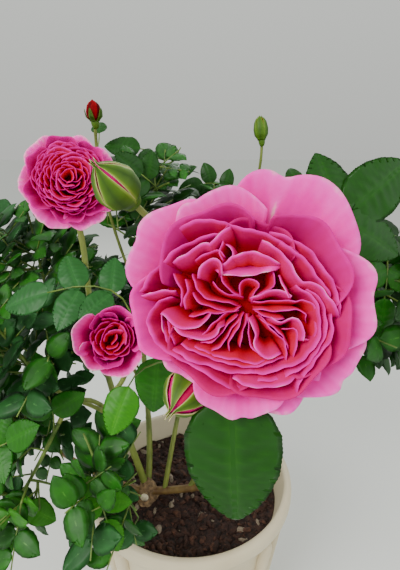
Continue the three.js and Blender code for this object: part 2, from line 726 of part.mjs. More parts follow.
// A leaf, turned about its twig and made smaller until most of its leaflets are free, or nothing
function growLeaf(foot, onward, turn, size, pairs, face, atTip, name, taken) {
  for (let attempt = 0; attempt < LEAF_ATTEMPTS; attempt++) {
    const aside = sideways(onward, turn + attempt * GOLDEN_TURN, ...LEAF_WAY).addScaledVector(UP, LEAF_RISE);
    const way = atTip && attempt === 0 ? onward.clone() : aside.normalize();
    const smaller = size * (1 - LEAF_SHRINK * attempt);
    const span = smaller * (LEAF_SPAN + SPAN_PER_PAIR * pairs.length);
    const end = foot.clone().addScaledVector(way, span).addScaledVector(UP, -span * LEAF_DROOP);
    const stalk = new THREE.LineCurve3(foot.clone(), end);
    if (![0.5, 0.75, 1].every((t) => isFree(stalk.getPoint(t), name, TWIG_CLEARANCE))) continue;
    const leaf = leafOn(stalk, 1, face, smaller, pairs);
    leaf.leaflets = leaf.leaflets.filter((leaflet) => probesOf(leaflet).every((probe) => (
      isFree(probe, name, LEAF_CLEARANCE) && taken.every((other) => other.distanceTo(probe) > CROWDING)
    )));
    const wanted = attempt < LEAF_PATIENCE ? LEAFLETS_WANTED : LEAFLETS_WANTED - 1;
    if (leaf.leaflets.length >= wanted) return leaf;
  }
  return null;
}

// The seeded rule that every spray follows: a stem, twigs round it, and compound leaves on both
function growSpray(name) {
  const spray = SPRAYS[name];
  const random = seeded(spray.seed);
  const stem = sprayStem(name);
  const twigs = [stem];
  for (let k = 0; k < spray.twigs; k++) {
    const share = TWIGS_FROM + (TWIGS_OVER * (k + random())) / spray.twigs;
    const turn = k * GOLDEN_TURN + random() * TWIG_JITTER;
    const length = spray.reach * (TWIG_SHARE[0] + TWIG_SHARE[1] * random());
    const foot = drawnPoint(stem.curve, stem.steps, share);
    const way = sideways(stem.curve.getTangent(share), turn, ...TWIG_WAY).addScaledVector(UP, TWIG_RISE);
    const twig = growTwig(foot, way.normalize(), length, name);
    if (twig) twigs.push(twig);
  }

  const leaves = [];
  const taken = [...setProbes];
  let turn = random() * 6;
  for (const twig of twigs) {
    const count = Math.max(2, Math.round((twig.length * (1 - LEAF_FROM)) / LEAF_SPACING));
    for (let i = 0; i <= count; i++) {
      const share = LEAF_FROM + ((1 - LEAF_FROM) * i) / count;
      turn += GOLDEN_TURN;
      const size = LEAFLET_SIZE[0] + LEAFLET_SIZE[1] * random();
      const pairs = PAIRS[random() < THREE_PAIR_SHARE ? 1 : 0];
      const foot = drawnPoint(twig.curve, twig.steps, share);
      const outward = foot.clone().sub(CROWN_HEART).normalize();
      const face = new THREE.Vector3().addScaledVector(UP, FACE_WEIGHTS[0])
        .addScaledVector(FRONT, FACE_WEIGHTS[1]).addScaledVector(outward, FACE_WEIGHTS[2]).normalize();
      const onward = twig.curve.getTangent(share);
      const leaf = growLeaf(foot, onward, turn, size, pairs, face, i === count, name, taken);
      if (!leaf) continue;
      for (const leaflet of leaf.leaflets) taken.push(...probesOf(leaflet));
      leaves.push(leaf);
    }
  }
  return { twigs, leaves };
}

function leafSolids(leaf) {
  const stalk = solid(taperedBar(leaf.stalk, ...STALK_RADII, TWIG_SIDES, leaf.steps));
  return [stalk, ...leaf.leaflets.map(bladeSolid)];
}

function spraySolid(name) {
  const { twigs, leaves } = growSpray(name);
  const parts = twigs.map(({ curve, radii, steps }) => solid(taperedBar(curve, ...radii, TWIG_SIDES, steps)));
  for (const leaf of [...leaves, ...setLeaves[name]]) parts.push(...leafSolids(leaf));
  return fuse(parts);
}

// The frame of a flower: its eye, with x to the right and y upward as one looks into it, and z outward
function flowerFrame(eye, facing) {
  const z = vector(facing).normalize();
  const x = UP.clone().cross(z).normalize();
  const y = z.clone().cross(x);
  return new THREE.Matrix4().makeBasis(x, y, z).setPosition(vector(eye));
}

// A thin closed blade on a surface given by s, which runs along it from 0 to 1, and t, from -1 to 1 across
function blade(surface, across, along, thickness) {
  const geometry = new THREE.BoxGeometry(2, 1, 1, across, along, 1);
  const position = geometry.attributes.position;
  const nudge = 1e-3;
  for (let i = 0; i < position.count; i++) {
    const [t, s, side] = [position.getX(i), position.getY(i) + 0.5, position.getZ(i)];
    const point = surface(s, t);
    const overT = surface(s, t + nudge).sub(surface(s, t - nudge));
    const overS = surface(s + nudge, t).sub(surface(s - nudge, t));
    point.addScaledVector(overT.cross(overS).normalize(), side * thickness);
    position.setXYZ(i, point.x, point.y, point.z);
  }
  return geometry;
}

const polar = (radius, turn, z) => new THREE.Vector3(radius * Math.cos(turn), radius * Math.sin(turn), z);

// An outer petal: from inside the flower's solid heart, widening to a rounded lip that may lie open
function guardPetal(depth, [turn, spread, reach, lift, open]) {
  return (s, t) => {
    const share = PETAL_START + (1 - PETAL_START) * s;
    const wide = spread * (0.5 + 0.5 * Math.sin(share * Math.PI / 2));
    const lip = reach * (1 - 0.17 * Math.abs(t) ** 2.6);
    const radius = 3 + (lip - 3) * share ** (0.62 + 0.55 * open);
    const z = -depth + (depth + lift) * share ** (1.5 - 0.75 * open);
    return polar(radius, (turn + wide * t) * DEGREE, z);
  };
}

// An inner petal: a loop folded about the middle of its sector
function foldedPetal(turn, spread, reach, inner, floor) {
  return (s, t) => {
    const side = Math.min(1, Math.abs(t));
    const lip = inner + (reach - inner) * (1 - side ** 2.4) ** (1 / 2.4);
    const radius = lip * (0.8 + 0.2 * s);
    const z = floor + (-floor - 2 - reach * 0.14) * s;
    return polar(radius, (turn + spread * t * (0.55 + 0.45 * side)) * DEGREE, z);
  };
}

function bloomSolid(name) {
  const { eye, facing, depth } = BLOOMS[name];
  const frame = flowerFrame(eye, facing);
  const { sectors, spread, reach, inner, rows, floor } = ROSETTES[name];
  const outline = [
    [0, -depth - 14], [3, -depth - 13], [HIP_RADIUS, -depth - 5], [HIP_RADIUS, -depth],
    [reach * 0.62, -depth + 12], [reach, floor - 4], [reach * 0.92, floor + 2], [0, floor],
  ];
  const core = new THREE.LatheGeometry(outline.map(([r, z]) => new THREE.Vector2(r, z)), 10);
  core.rotateX(Math.PI / 2);
  const petals = GUARD_PETALS[name].map((petal) => blade(guardPetal(depth, petal), 3, 2, PETAL_THICK));
  for (const turn of sectors) {
    for (let row = 0; row < rows; row++) {
      const share = 1 - (row / rows) * 0.8;
      const lip = inner + (reach - inner) * share;
      const fold = foldedPetal(turn, spread * (0.45 + 0.55 * share), lip, inner, floor - 2);
      petals.push(blade(fold, 4, 1, PETAL_THICK));
    }
  }
  const { curve, radii, sides, steps } = limbs[name];
  const parts = [core, ...petals].map((geometry) => solid(geometry.applyMatrix4(frame)));
  parts.push(solid(taperedBar(curve, ...radii, sides, steps)));
  for (const leaf of setLeaves[name]) parts.push(...leafSolids(leaf));
  return fuse(parts);
}

// A bud: furled petals clasped by sepals, on a small hip
function budSolid(name) {
  const { base, tip, width } = BUDS[name];
  const facing = vector(tip).sub(vector(base));
  const length = facing.length();
  const wide = width / 2;
  const outline = [
    [0, -6], [2.4, -6], [wide * 0.5, -3], [wide * 0.5, 1], [wide * 0.9, length * 0.22],
    [wide * 0.94, length * 0.48], [wide * 0.6, length * 0.76], [0, length],
  ];
  const egg = new THREE.LatheGeometry(outline.map(([r, z]) => new THREE.Vector2(r, z)), 2 * SEPALS);
  egg.rotateX(Math.PI / 2);
  const position = egg.attributes.position;
  for (let i = 0; i < position.count; i++) {
    const ridge = 1 + 0.06 * Math.cos(SEPALS * Math.atan2(position.getY(i), position.getX(i)));
    position.setX(i, position.getX(i) * ridge);
    position.setY(i, position.getY(i) * ridge);
  }
  const shapes = [solid(egg.applyMatrix4(flowerFrame(base, facing.toArray())))];
  shapes.push(limbSolid(name));
  for (const leaf of setLeaves[name]) shapes.push(...leafSolids(leaf));
  return fuse(shapes);
}

// First every limb and stalk, then the leaves that are set by hand, then what grows round them
for (const [name, limb] of Object.entries(LIMBS)) addLimb(name, limb, LIMB_SIDES, LIMB_STEPS);
for (const [name, bloom] of Object.entries(BLOOMS)) {
  const frame = flowerFrame(bloom.eye, bloom.facing);
  const hip = new THREE.Vector3(0, 0, -bloom.depth - HIP_LENGTH).applyMatrix4(frame);
  addLimb(name, { ...bloom, path: [...bloom.path, hip.toArray()] }, LIMB_SIDES, FLOWER_STALK_STEPS);
}
for (const [name, bud] of Object.entries(BUDS)) {
  addLimb(name, { ...bud, path: [...bud.path, bud.base] }, BUD_STALK_SIDES, BUD_STALK_STEPS);
}

chains.push({ name: "open_view", points: OPEN_VIEW.map(([at, radius]) => ({ at: vector(at), radius })) });

const stemOf = (name) => limbs[name] ?? sprayStem(name);

const setLeaves = Object.fromEntries(Object.keys(spaces).map((name) => [name, []]));
for (const leaf of SET_LEAVES) {
  const stem = stemOf(leaf.of);
  const start = drawnPoint(stem.curve, stem.steps, leaf.at);
  const stalk = new THREE.CubicBezierCurve3(start, ...leaf.path.map(vector));
  const face = vector(leaf.face).normalize();
  setLeaves[leaf.of].push(leafOn(stalk, SET_STALK_STEPS, face, leaf.size, leaf.pairs));
}
const setProbes = Object.values(setLeaves).flat().flatMap((leaf) => leaf.leaflets.flatMap(probesOf));

addPiece("pot", makePot(), POT_MATERIAL);
addPiece("soil", makeSoil(), SOIL_MATERIAL);
addPiece("stock", makeStock(), STOCK_MATERIAL);
for (const name of Object.keys(LIMBS)) addPiece(name, limbSolid(name), CANE_MATERIAL);
for (const name of Object.keys(SPRAYS)) addPiece(name, spraySolid(name), LEAF_MATERIAL);
for (const name of Object.keys(BLOOMS)) addPiece(name, bloomSolid(name), BLOOM_MATERIAL);
for (const name of Object.keys(BUDS)) addPiece(name, budSolid(name), BUD_MATERIAL);

export default clump;
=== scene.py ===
"""A potted rose bush: a cream ribbed pot of soil, arching canes, sprays of leaves, blooms and buds.

Lengths are in millimetres until a mesh is made. The front is -Y, and Z is up.
"""
import math
import bpy
import numpy as np
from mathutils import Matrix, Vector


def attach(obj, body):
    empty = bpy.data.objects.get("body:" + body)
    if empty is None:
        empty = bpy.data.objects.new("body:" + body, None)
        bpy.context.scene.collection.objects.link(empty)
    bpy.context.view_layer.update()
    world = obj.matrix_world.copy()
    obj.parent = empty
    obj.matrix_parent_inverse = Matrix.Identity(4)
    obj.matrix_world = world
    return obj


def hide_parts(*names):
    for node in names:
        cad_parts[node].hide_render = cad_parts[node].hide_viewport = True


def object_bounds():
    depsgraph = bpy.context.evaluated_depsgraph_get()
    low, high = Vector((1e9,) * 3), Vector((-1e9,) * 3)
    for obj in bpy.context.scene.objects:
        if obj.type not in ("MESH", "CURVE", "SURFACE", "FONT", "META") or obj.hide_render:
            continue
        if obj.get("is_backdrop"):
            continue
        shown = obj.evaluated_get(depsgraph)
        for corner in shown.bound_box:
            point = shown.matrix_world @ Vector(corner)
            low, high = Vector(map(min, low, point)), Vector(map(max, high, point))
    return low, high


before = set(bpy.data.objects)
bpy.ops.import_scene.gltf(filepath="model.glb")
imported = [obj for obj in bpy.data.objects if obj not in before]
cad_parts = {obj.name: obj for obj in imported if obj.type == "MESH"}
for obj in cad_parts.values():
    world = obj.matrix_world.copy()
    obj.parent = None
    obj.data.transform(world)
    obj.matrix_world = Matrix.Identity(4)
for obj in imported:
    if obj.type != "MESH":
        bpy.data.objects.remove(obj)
cad_low, cad_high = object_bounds()

MM = 0.001
GOLDEN_TURN = 2.39996
DEGREE = math.pi / 180

# Clearance between pieces, and the room kept between foliage and what it grows past
GAP = 0.3
LEAF_CLEARANCE = 7
TWIG_CLEARANCE = 4
POT_CLEARANCE = 8
SPACE_MARGIN = 600
CROWDING = 4.5
REACH_SLACK = 1.2

# The pot
RIM_RADIUS = 152
RIM_INNER_RADIUS = 140
RIM_HEIGHT = 270
RIM_BAND = 27
SHOULDER_RADIUS = 137
FOOT_RADIUS = 106
WALL = 7
FLOOR = 9
RIBS = 12
RIB_TURN = 18
RIB_TOP = 236
RIB_BOTTOM = 14
RIB_RADIUS = 9.5
RIB_FOOT_RADIUS = 6
RIB_OUTSET = 3
DRAINS = 4
DRAIN_RADIUS = 7
DRAIN_RING = 62

# The soil and the stock that stands in it
SOIL_TOP = 235
SOIL_SWELL = 2.5
STOCK_FOOT = (-67, -16)
STOCK_LEAN = (0.06, 0.03)
STOCK_PROFILE = [(0, 20), (4, 16.5), (10, 13.5), (17, 13), (23, 11), (27, 6.5)]
STUB_RADIUS = 7
STUB_FROM = (-67, -16, 247)
STUB_TO = (-68, -34, 250)

# How the source's solids are drawn, which fixes where one limb leaves another
LIMB_STEPS = 6
FLOWER_STALK_STEPS = 4
BUD_STALK_STEPS = 6
STEM_STEPS = 4
TWIG_STEPS = 2
SET_STALK_STEPS = 3

# Twigs and leaves
TWIGS_FROM = 0.12
TWIGS_OVER = 0.78
TWIG_SHARE = (0.5, 0.3)
TWIG_TRIES = (1, 0.75, 0.5)
TWIG_RADII = (1.6, 1.1)
TWIG_WAY = (0.9, 0.4)
TWIG_RISE = 0.25
TWIG_ARCH = 0.07
TWIG_JITTER = 0.9
STEM_TIP_RADIUS = 1.3
STALK_RADII = (1.0, 0.7)
LEAFLET_SIZE = (52, 12)
LEAF_SLIMNESS = 0.7
LEAF_SPACING = 50
LEAF_FROM = 0.3
LEAF_ATTEMPTS = 5
LEAF_PATIENCE = 3
LEAFLETS_WANTED = 4
LEAF_WAY = (0.85, 0.5)
LEAF_RISE = 0.2
LEAF_DROOP = 0.1
LEAF_SHRINK = 0.07
LEAF_SPAN = 0.85
SPAN_PER_PAIR = 0.35
FACE_WEIGHTS = (0.5, 0.5, 0.5)
PAIRS = [(0.4, 0.72), (0.28, 0.52, 0.77)]
THREE_PAIR_SHARE = 0.25
STALK_TIP = 0.985
SIDE_LEAFLET = (0.72, 0.16)
SIDE_WAY = (0.38, 0.92)
START_TURN = 6
TWIG_CHECKS = (0.4, 0.55, 0.7, 0.85, 1)
STALK_CHECKS = (0.5, 0.75, 1)

# Two finer layers of growth within the same reach
FINE_GROWTH = [
    {"twigs": 9, "leaflet": (44, 14), "spacing": 40},
    {"twigs": 10, "leaflet": (32, 12), "spacing": 30},
]
FINE_FROM = 0.2
FINE_OVER = 0.75
FINE_SHARE = (0.3, 0.25)
FINE_RADII = (1.1, 0.8)
FINE_SEED_STEP = 1000

# A gap in the foliage that leaves the foot of the plant open to view: its middle line and its radius there
OPEN_VIEW = [((-26, -27, 270), 36), ((-12, -233, 484), 32), ((-6, -298, 544), 22)]
CROWN_HEART = np.array([-20, -20, 420.0])
UP = np.array([0, 0, 1.0])
FRONT = np.array([0, -1.0, 0])

# The limbs: each leaves the side of another at a share of its length, or goes on from its tip.
# A path is two guide points and a tip.
LIMBS = {
    "cane_low": {
        "on": "stock", "start": [-62, -17, 246],
        "path": [[-40, -21, 249], [-8, -27, 258], [26, -30, 268]], "radii": [5.8, 5.2],
    },
    "cane_main": {
        "after": "cane_low",
        "path": [[70, -36, 282], [78, -150, 400], [42, -214, 545]], "radii": [5.2, 3.6],
    },
    "cane_right": {
        "on": "cane_low", "at": 0.72,
        "path": [[40, 0, 330], [92, 20, 420], [118, 22, 505]], "radii": [4.0, 2.8],
    },
    "cane_back": {
        "on": "cane_low", "at": 0.3,
        "path": [[-24, 10, 340], [-6, 70, 410], [20, 98, 512]], "radii": [3.8, 2.8],
    },
    "cane_tall": {
        "on": "stock", "start": [-68, -15, 253],
        "path": [[-82, -12, 305], [-134, 0, 470], [-112, -74, 618]], "radii": [5.4, 3.2],
    },
    "cane_left": {
        "on": "stock", "start": [-72, -16, 246],
        "path": [[-102, -19, 254], [-142, -28, 288], [-172, -58, 352]], "radii": [5.2, 3.2],
    },
    "cane_rear": {
        "on": "stock", "start": [-66, -10, 251],
        "path": [[-58, 34, 320], [-82, 66, 450], [-68, 42, 585]], "radii": [5.0, 3.0],
    },
    "bough_front": {
        "on": "cane_left", "at": 0.42,
        "path": [[-116, -60, 294], [-108, -100, 318], [-96, -126, 338]], "radii": [3.4, 2.6],
    },
    "bough_half": {
        "on": "cane_tall", "at": 0.48,
        "path": [[-100, -60, 455], [-80, -120, 480], [-62, -152, 520]], "radii": [3.2, 2.4],
    },
    "bough_left": {
        "on": "cane_tall", "at": 0.4,
        "path": [[-130, -40, 420], [-150, -70, 440], [-160, -88, 470]], "radii": [3.0, 2.4],
    },
    "bough_high": {
        "on": "cane_tall", "at": 0.6,
        "path": [[-140, 0, 470], [-165, 4, 500], [-178, 0, 535]], "radii": [3.0, 2.4],
    },
    "bough_rear": {
        "on": "cane_rear", "at": 0.42,
        "path": [[-86, 76, 400], [-108, 90, 412], [-124, 98, 430]], "radii": [3.0, 2.4],
    },
    "bough_low_right": {
        "on": "cane_back", "at": 0.42,
        "path": [[20, 60, 400], [42, 82, 408], [56, 92, 424]], "radii": [2.8, 2.2],
    },
    "bough_right": {
        "on": "cane_right", "at": 0.55,
        "path": [[92, -18, 430], [122, -70, 470], [150, -98, 512]], "radii": [3.0, 2.4],
    },
    "bough_arch": {
        "on": "cane_tall", "at": 0.3,
        "path": [[-104, -40, 410], [-116, -112, 500], [-137, -138, 458]], "radii": [3.2, 2.4],
    },
}

# The spaces of the foliage, each with its bough, heart, crest and reach
SPRAYS = {
    "spray_left_low": {
        "bough": "cane_left", "heart": [-188, -80, 405], "crest": [-212, -118, 452],
        "reach": 88, "twigs": 4, "seed": 11,
    },
    "spray_front": {
        "bough": "bough_front", "heart": [-94, -150, 385], "crest": [-86, -176, 430],
        "reach": 74, "twigs": 4, "seed": 23,
    },
    "spray_left": {
        "bough": "bough_left", "heart": [-178, -112, 525], "crest": [-192, -136, 575],
        "reach": 84, "twigs": 4, "seed": 37,
    },
    "spray_left_high": {
        "bough": "bough_high", "heart": [-192, 6, 600], "crest": [-204, 8, 668],
        "reach": 90, "twigs": 3, "seed": 41,
    },
    "spray_rear_left": {
        "bough": "bough_rear", "heart": [-150, 112, 490], "crest": [-176, 128, 560],
        "reach": 96, "twigs": 3, "seed": 53,
    },
    "spray_crest": {
        "bough": "cane_rear", "heart": [-62, 34, 665], "crest": [-46, 20, 726],
        "reach": 78, "twigs": 3, "seed": 67,
    },
    "spray_rear": {
        "bough": "cane_back", "heart": [30, 112, 600], "crest": [66, 120, 664],
        "reach": 92, "twigs": 3, "seed": 71,
    },
    "spray_rear_low": {
        "bough": "bough_low_right", "heart": [84, 112, 470], "crest": [112, 128, 505],
        "reach": 84, "twigs": 3, "seed": 83,
    },
    "spray_right": {
        "bough": "cane_right", "heart": [140, 28, 590], "crest": [150, 44, 668],
        "reach": 92, "twigs": 3, "seed": 97,
    },
    "spray_right_front": {
        "bough": "bough_right", "heart": [184, -108, 585], "crest": [190, -112, 652],
        "reach": 84, "twigs": 3, "seed": 101,
    },
    "spray_arch": {
        "bough": "bough_arch", "heart": [-172, -160, 388], "crest": [-205, -174, 350],
        "reach": 66, "twigs": 4, "seed": 113,
    },
}

# The blooms and their stalks
BLOOMS = {
    "bloom_main": {
        "after": "cane_main", "path": [[36, -236, 600], [46, -252, 634]],
        "eye": [35, -325, 666], "facing": [-0.11, -0.93, 0.34], "depth": 56, "radii": [3.6, 3.4],
        "heart": [46, -292, 655], "reach": 95,
    },
    "bloom_second": {
        "after": "cane_tall", "path": [[-104, -86, 648], [-113, -84, 668]],
        "eye": [-104, -124, 712], "facing": [0.28, -0.9, 0.33], "depth": 50, "radii": [3.2, 3.0],
        "heart": [-108, -108, 705], "reach": 62,
    },
    "bloom_half": {
        "after": "bough_half", "path": [[-52, -172, 545], [-52, -180, 556]],
        "eye": [-55, -216, 594], "facing": [0.16, -0.88, 0.4], "depth": 46, "radii": [2.4, 2.6],
        "heart": [-74, -200, 588], "reach": 84,
    },
}

# The buds and their stalks
BUDS = {
    "bud_upper": {
        "on": "bloom_main", "at": 0.25, "path": [[22, -222, 640], [-14, -230, 686]],
        "base": [-29, -252, 705], "tip": [-42, -273, 725], "width": 27, "radii": [2.2, 2.2],
        "heart": [-36, -263, 715], "reach": 26,
    },
    "bud_lower": {
        "on": "bloom_main", "at": 0.12, "path": [[38, -250, 594], [26, -274, 611]], "base": [12, -301, 610],
        "tip": [0, -327, 608], "width": 26, "radii": [2.4, 2.2], "heart": [6, -314, 610], "reach": 22,
    },
    "bud_red": {
        "on": "cane_rear", "at": 0.86, "path": [[-100, 10, 640], [-104, -30, 710]], "base": [-97, -43, 764],
        "tip": [-98, -44, 785], "width": 17, "radii": [2.0, 1.7], "heart": [-98, -44, 775], "reach": 16,
    },
    "bud_green": {
        "on": "cane_back", "at": 0.72, "path": [[60, 96, 600], [98, 44, 680]], "base": [91, 32, 748],
        "tip": [88, 34, 775], "width": 16, "radii": [2.0, 1.7], "heart": [89, 33, 763], "reach": 16,
    },
}

# Leaves that show plainly, each with the share of its stem where it leaves and the path of its stalk
SET_LEAVES = [
    {
        "of": "bloom_main", "at": 0.5, "path": [[40, -262, 600], [29, -317, 638], [30, -322, 613]],
        "size": 74, "pairs": [], "face": [-0.1, -1, 0.1], "tint": "leaf_deep_shaded",
    },
    {
        "of": "bloom_main", "at": 0.75, "path": [[76, -236, 664], [102, -206, 672], [124, -200, 690]],
        "size": 62, "pairs": [0.9], "face": [0.1, -1, 0.35], "tint": "leaf_deep_shaded",
    },
    {
        "of": "bloom_main", "at": 0.06, "path": [[14, -200, 575], [-36, -196, 572], [-46, -209, 547]],
        "size": 42, "pairs": [], "face": [-0.1, -1, 0.3], "tint": "leaf_bright_lit",
    },
    {
        "of": "bloom_main", "at": 0.12, "path": [[22, -206, 590], [-22, -170, 590], [-25, -176, 557]],
        "size": 54, "pairs": [], "face": [0.1, -1, 0.3], "tint": "leaf_mid",
    },
    {
        "of": "bloom_half", "at": 0.4, "path": [[-36, -158, 600], [-52, -164, 636], [-121, -165, 615]],
        "size": 46, "pairs": [0.6, 0.82], "face": [0.1, -0.75, 0.8], "tint": "leaf_blue_sheen",
    },
    {
        "of": "spray_front", "at": 0.7, "path": [[-96, -168, 432], [-92, -180, 418], [-79, -192, 384]],
        "size": 36, "pairs": [0.42, 0.78], "face": [0, -0.9, 0.55], "tint": "leaf_bright_lit",
    },
    {
        "of": "spray_arch", "at": 0.1, "path": [[-138, -141, 470], [-142, -138, 480], [-146, -134, 492]],
        "size": 46, "pairs": [0.5], "face": [0, -1, 0.2], "tint": "leaf_mid",
    },
    {
        "of": "spray_arch", "at": 0.7, "path": [[-180, -168, 384], [-178, -170, 386], [-170, -170, 380]],
        "size": 38, "pairs": [], "face": [0.1, -0.8, 0.6], "tint": "leaf_bright_lit",
    },
    {
        "of": "spray_left_low", "at": 0.75,
        "path": [[-216, -126, 432], [-208, -168, 440], [-176, -172, 461]],
        "size": 44, "pairs": [0.8], "face": [0, -0.8, 0.6], "tint": "leaf_mid",
    },
    {
        "of": "spray_rear", "at": 0.96, "path": [[60, 112, 690], [36, 106, 694], [18, 106, 690]],
        "size": 38, "pairs": [0.4, 0.76], "face": [0, -0.95, 0.3], "tint": "leaf_deep_shaded",
    },
    {
        "of": "spray_crest", "at": 0.66, "path": [[-34, 8, 690], [-30, -20, 690], [-52, -32, 710]],
        "size": 38, "pairs": [0.86], "face": [0.2, -0.9, 0.3], "tint": "leaf_deep_shaded",
    },
    {
        "of": "spray_crest", "at": 1, "path": [[-46, 22, 732], [-50, 26, 737], [-60, 26, 738]],
        "size": 46, "pairs": [], "face": [0, -0.8, 0.6], "tint": "leaf_deep_shaded",
    },
    {
        "of": "spray_right", "at": 0.98, "path": [[152, 56, 680], [152, 66, 684], [150, 72, 690]],
        "size": 36, "pairs": [0.5], "face": [0, -0.95, 0.3], "tint": "leaf_deep_shaded",
    },
    {
        "of": "spray_right_front", "at": 0.96,
        "path": [[188, -130, 664], [188, -146, 640], [184, -152, 604]],
        "size": 44, "pairs": [0.36, 0.72], "face": [0.2, -0.95, 0.25], "tint": "leaf_mid",
    },
    {
        "of": "bud_red", "at": 0.84, "path": [[-102, -16, 740], [-104, 0, 748], [-106, 10, 755]],
        "size": 28, "pairs": [], "face": [0, -0.8, 0.6], "tint": "leaf_deep_shaded",
    },
]

# Outer petals: turn about the eye, half spread, reach, how far the lip stands forward, how open
GUARD_PETALS = {
    "bloom_main": [
        [60, 38, 73, -16, 1], [110, 33, 59, -10, 0.9], [147, 33, 67, -12, 0.9], [4, 32, 63, -8, 0.8],
        [-33, 30, 63, -12, 0.9], [-66, 30, 58, -14, 1], [-92, 30, 58, -8, 0.9], [-134, 30, 50, -8, 0.8],
        [-168, 32, 57, -4, 0.7], [36, 40, 52, -2, 0.5], [128, 44, 50, -2, 0.5],
    ],
    "bloom_second": [
        [20, 36, 48, -12, 0.9], [75, 34, 44, -10, 0.9], [130, 36, 47, -12, 0.9], [184, 34, 46, -12, 0.9],
        [236, 36, 48, -14, 1], [290, 36, 47, -10, 0.9], [335, 32, 46, -10, 0.9],
    ],
    "bloom_half": [
        [165, 44, 30, 4, 0.5], [70, 44, 26, 6, 0.4], [-70, 46, 30, 0, 0.5], [10, 44, 26, 4, 0.4],
        [-140, 40, 27, 2, 0.5],
    ],
}

# Inside the outer petals: how far the inner ones reach from the eye, and how low the floor of the cup lies
ROSETTES = {
    "bloom_main": {"reach": 43, "floor": -16},
    "bloom_second": {"reach": 33, "floor": -14},
    "bloom_half": {"reach": 17, "floor": -12},
}
PETAL_START = 0.3
HIP_RADIUS = 6.5
HIP_LENGTH = 12
SEPALS = 5


# Curves and the seeded rule, as in the source

def seeded(seed):
    """Repeatable draws from 0 to 1."""
    state = [seed]

    def draw():
        state[0] = (state[0] * 1664525 + 1013904223) & 0xFFFFFFFF
        return state[0] / 4294967296
    return draw


def unit(vector):
    return vector / np.linalg.norm(vector)


def point_at(curve, share):
    """A point on a curve given by two, three or four guide points."""
    points = list(curve)
    while len(points) > 1:
        points = [a + (b - a) * share for a, b in zip(points, points[1:])]
    return points[0]


def tangent_at(curve, share):
    low = max(0, share - 1e-4)
    high = min(1, share + 1e-4)
    return unit(point_at(curve, high) - point_at(curve, low))


def drawn_point(curve, steps, share):
    """A point on a curve as the source draws it, in straight steps."""
    step = min(steps - 1, math.floor(share * steps))
    start = point_at(curve, step / steps)
    return start + (point_at(curve, (step + 1) / steps) - start) * (share * steps - step)


def flower_frame(eye, facing):
    """Columns x to the right, y upward and z outward as one looks into a flower, and its eye."""
    z = unit(np.array(facing, float))
    x = unit(np.cross(UP, z))
    return np.array([x, np.cross(z, x), z]).T, np.array(eye, float)


def placed(points, flower):
    turn, eye = flower
    return points @ turn.T + eye


limbs = {}
chain_starts = []
chain_ends = []
chain_radii = []


def add_limb(name, on=None, at=None, start=None, after=None, path=(), radii=(), steps=LIMB_STEPS):
    guides = [np.array(p, float) for p in path]
    if after:
        before = limbs[after]["curve"]
        onward = tangent_at(before, 1)
        foot = point_at(before, 1) + onward * GAP
        guides[0] = foot + onward * np.linalg.norm(guides[0] - foot)
    elif start:
        foot = np.array(start, float)
    else:
        foot = drawn_point(limbs[on]["curve"], limbs[on]["steps"], at)
    curve = [foot, *guides]
    limbs[name] = {"curve": curve, "radii": radii, "steps": steps, "on": on}
    shares = [i / (2 * steps) for i in range(2 * steps + 1)]
    points = [point_at(curve, share) for share in shares]
    chain_starts.extend(points[:-1])
    chain_ends.extend(points[1:])
    chain_radii.extend(radii[0] + (radii[1] - radii[0]) * share for share in shares[1:])


for name, limb in LIMBS.items():
    add_limb(name, **limb)
for name, bloom in BLOOMS.items():
    hip = placed(np.array([0, 0, -bloom["depth"] - HIP_LENGTH]), flower_frame(bloom["eye"], bloom["facing"]))
    add_limb(name, after=bloom["after"], path=[*bloom["path"], hip], radii=bloom["radii"],
             steps=FLOWER_STALK_STEPS)
for name, bud in BUDS.items():
    add_limb(name, on=bud["on"], at=bud["at"], path=[*bud["path"], bud["base"]], radii=bud["radii"],
             steps=BUD_STALK_STEPS)

for (low, _), (high, radius) in zip(OPEN_VIEW, OPEN_VIEW[1:]):
    chain_starts.append(low)
    chain_ends.append(high)
    chain_radii.append(radius)

chain_starts = np.array(chain_starts, float)
chain_spans = np.array(chain_ends) - chain_starts
chain_squares = (chain_spans ** 2).sum(1)
chain_radii = np.array(chain_radii)

SPACES = {**SPRAYS, **BLOOMS, **BUDS}
space_names = list(SPACES)
space_hearts = np.array([SPACES[name]["heart"] for name in space_names], float)
space_reaches = np.array([SPACES[name]["reach"] for name in space_names], float)


def is_free(points, name, clearance):
    """Whether every point may hold foliage of a space."""
    index = space_names.index(name)
    squares = ((points[:, None] - space_hearts) ** 2).sum(2)
    if (np.sqrt(squares[:, index]) > space_reaches[index] * REACH_SLACK).any():
        return False
    radius = np.hypot(points[:, 0], points[:, 1])
    inside = (radius < RIM_INNER_RADIUS - 2 * POT_CLEARANCE) & (points[:, 2] > SOIL_TOP + POT_CLEARANCE)
    outside = (points[:, 2] > RIM_HEIGHT + POT_CLEARANCE) | (radius > RIM_RADIUS + POT_CLEARANCE)
    if not (inside | outside).all():
        return False
    powers = squares - space_reaches ** 2
    own = powers[:, index].copy()
    powers[:, index] = np.inf
    if (own[:, None] + SPACE_MARGIN > powers).any():
        return False
    away = points[:, None] - chain_starts
    share = np.clip((away * chain_spans).sum(2) / chain_squares, 0, 1)
    nearest = np.linalg.norm(away - share[..., None] * chain_spans, axis=2) - chain_radii
    return bool((nearest > clearance).all())


# Places on a leaflet that have to be free: along it, and across it as a share of its half width
PROBES = np.array([
    (0, 0), (0.3, 0.92), (0.68, 0.86), (1, 0), (0.68, -0.86), (0.3, -0.92), (0.15, 0.4), (0.15, -0.4),
    (0.3, 0), (0.3, 0.45), (0.3, -0.45), (0.5, 0), (0.5, 0.9), (0.5, -0.9), (0.5, 0.45), (0.5, -0.45),
    (0.68, 0), (0.85, 0.4), (0.85, -0.4),
])


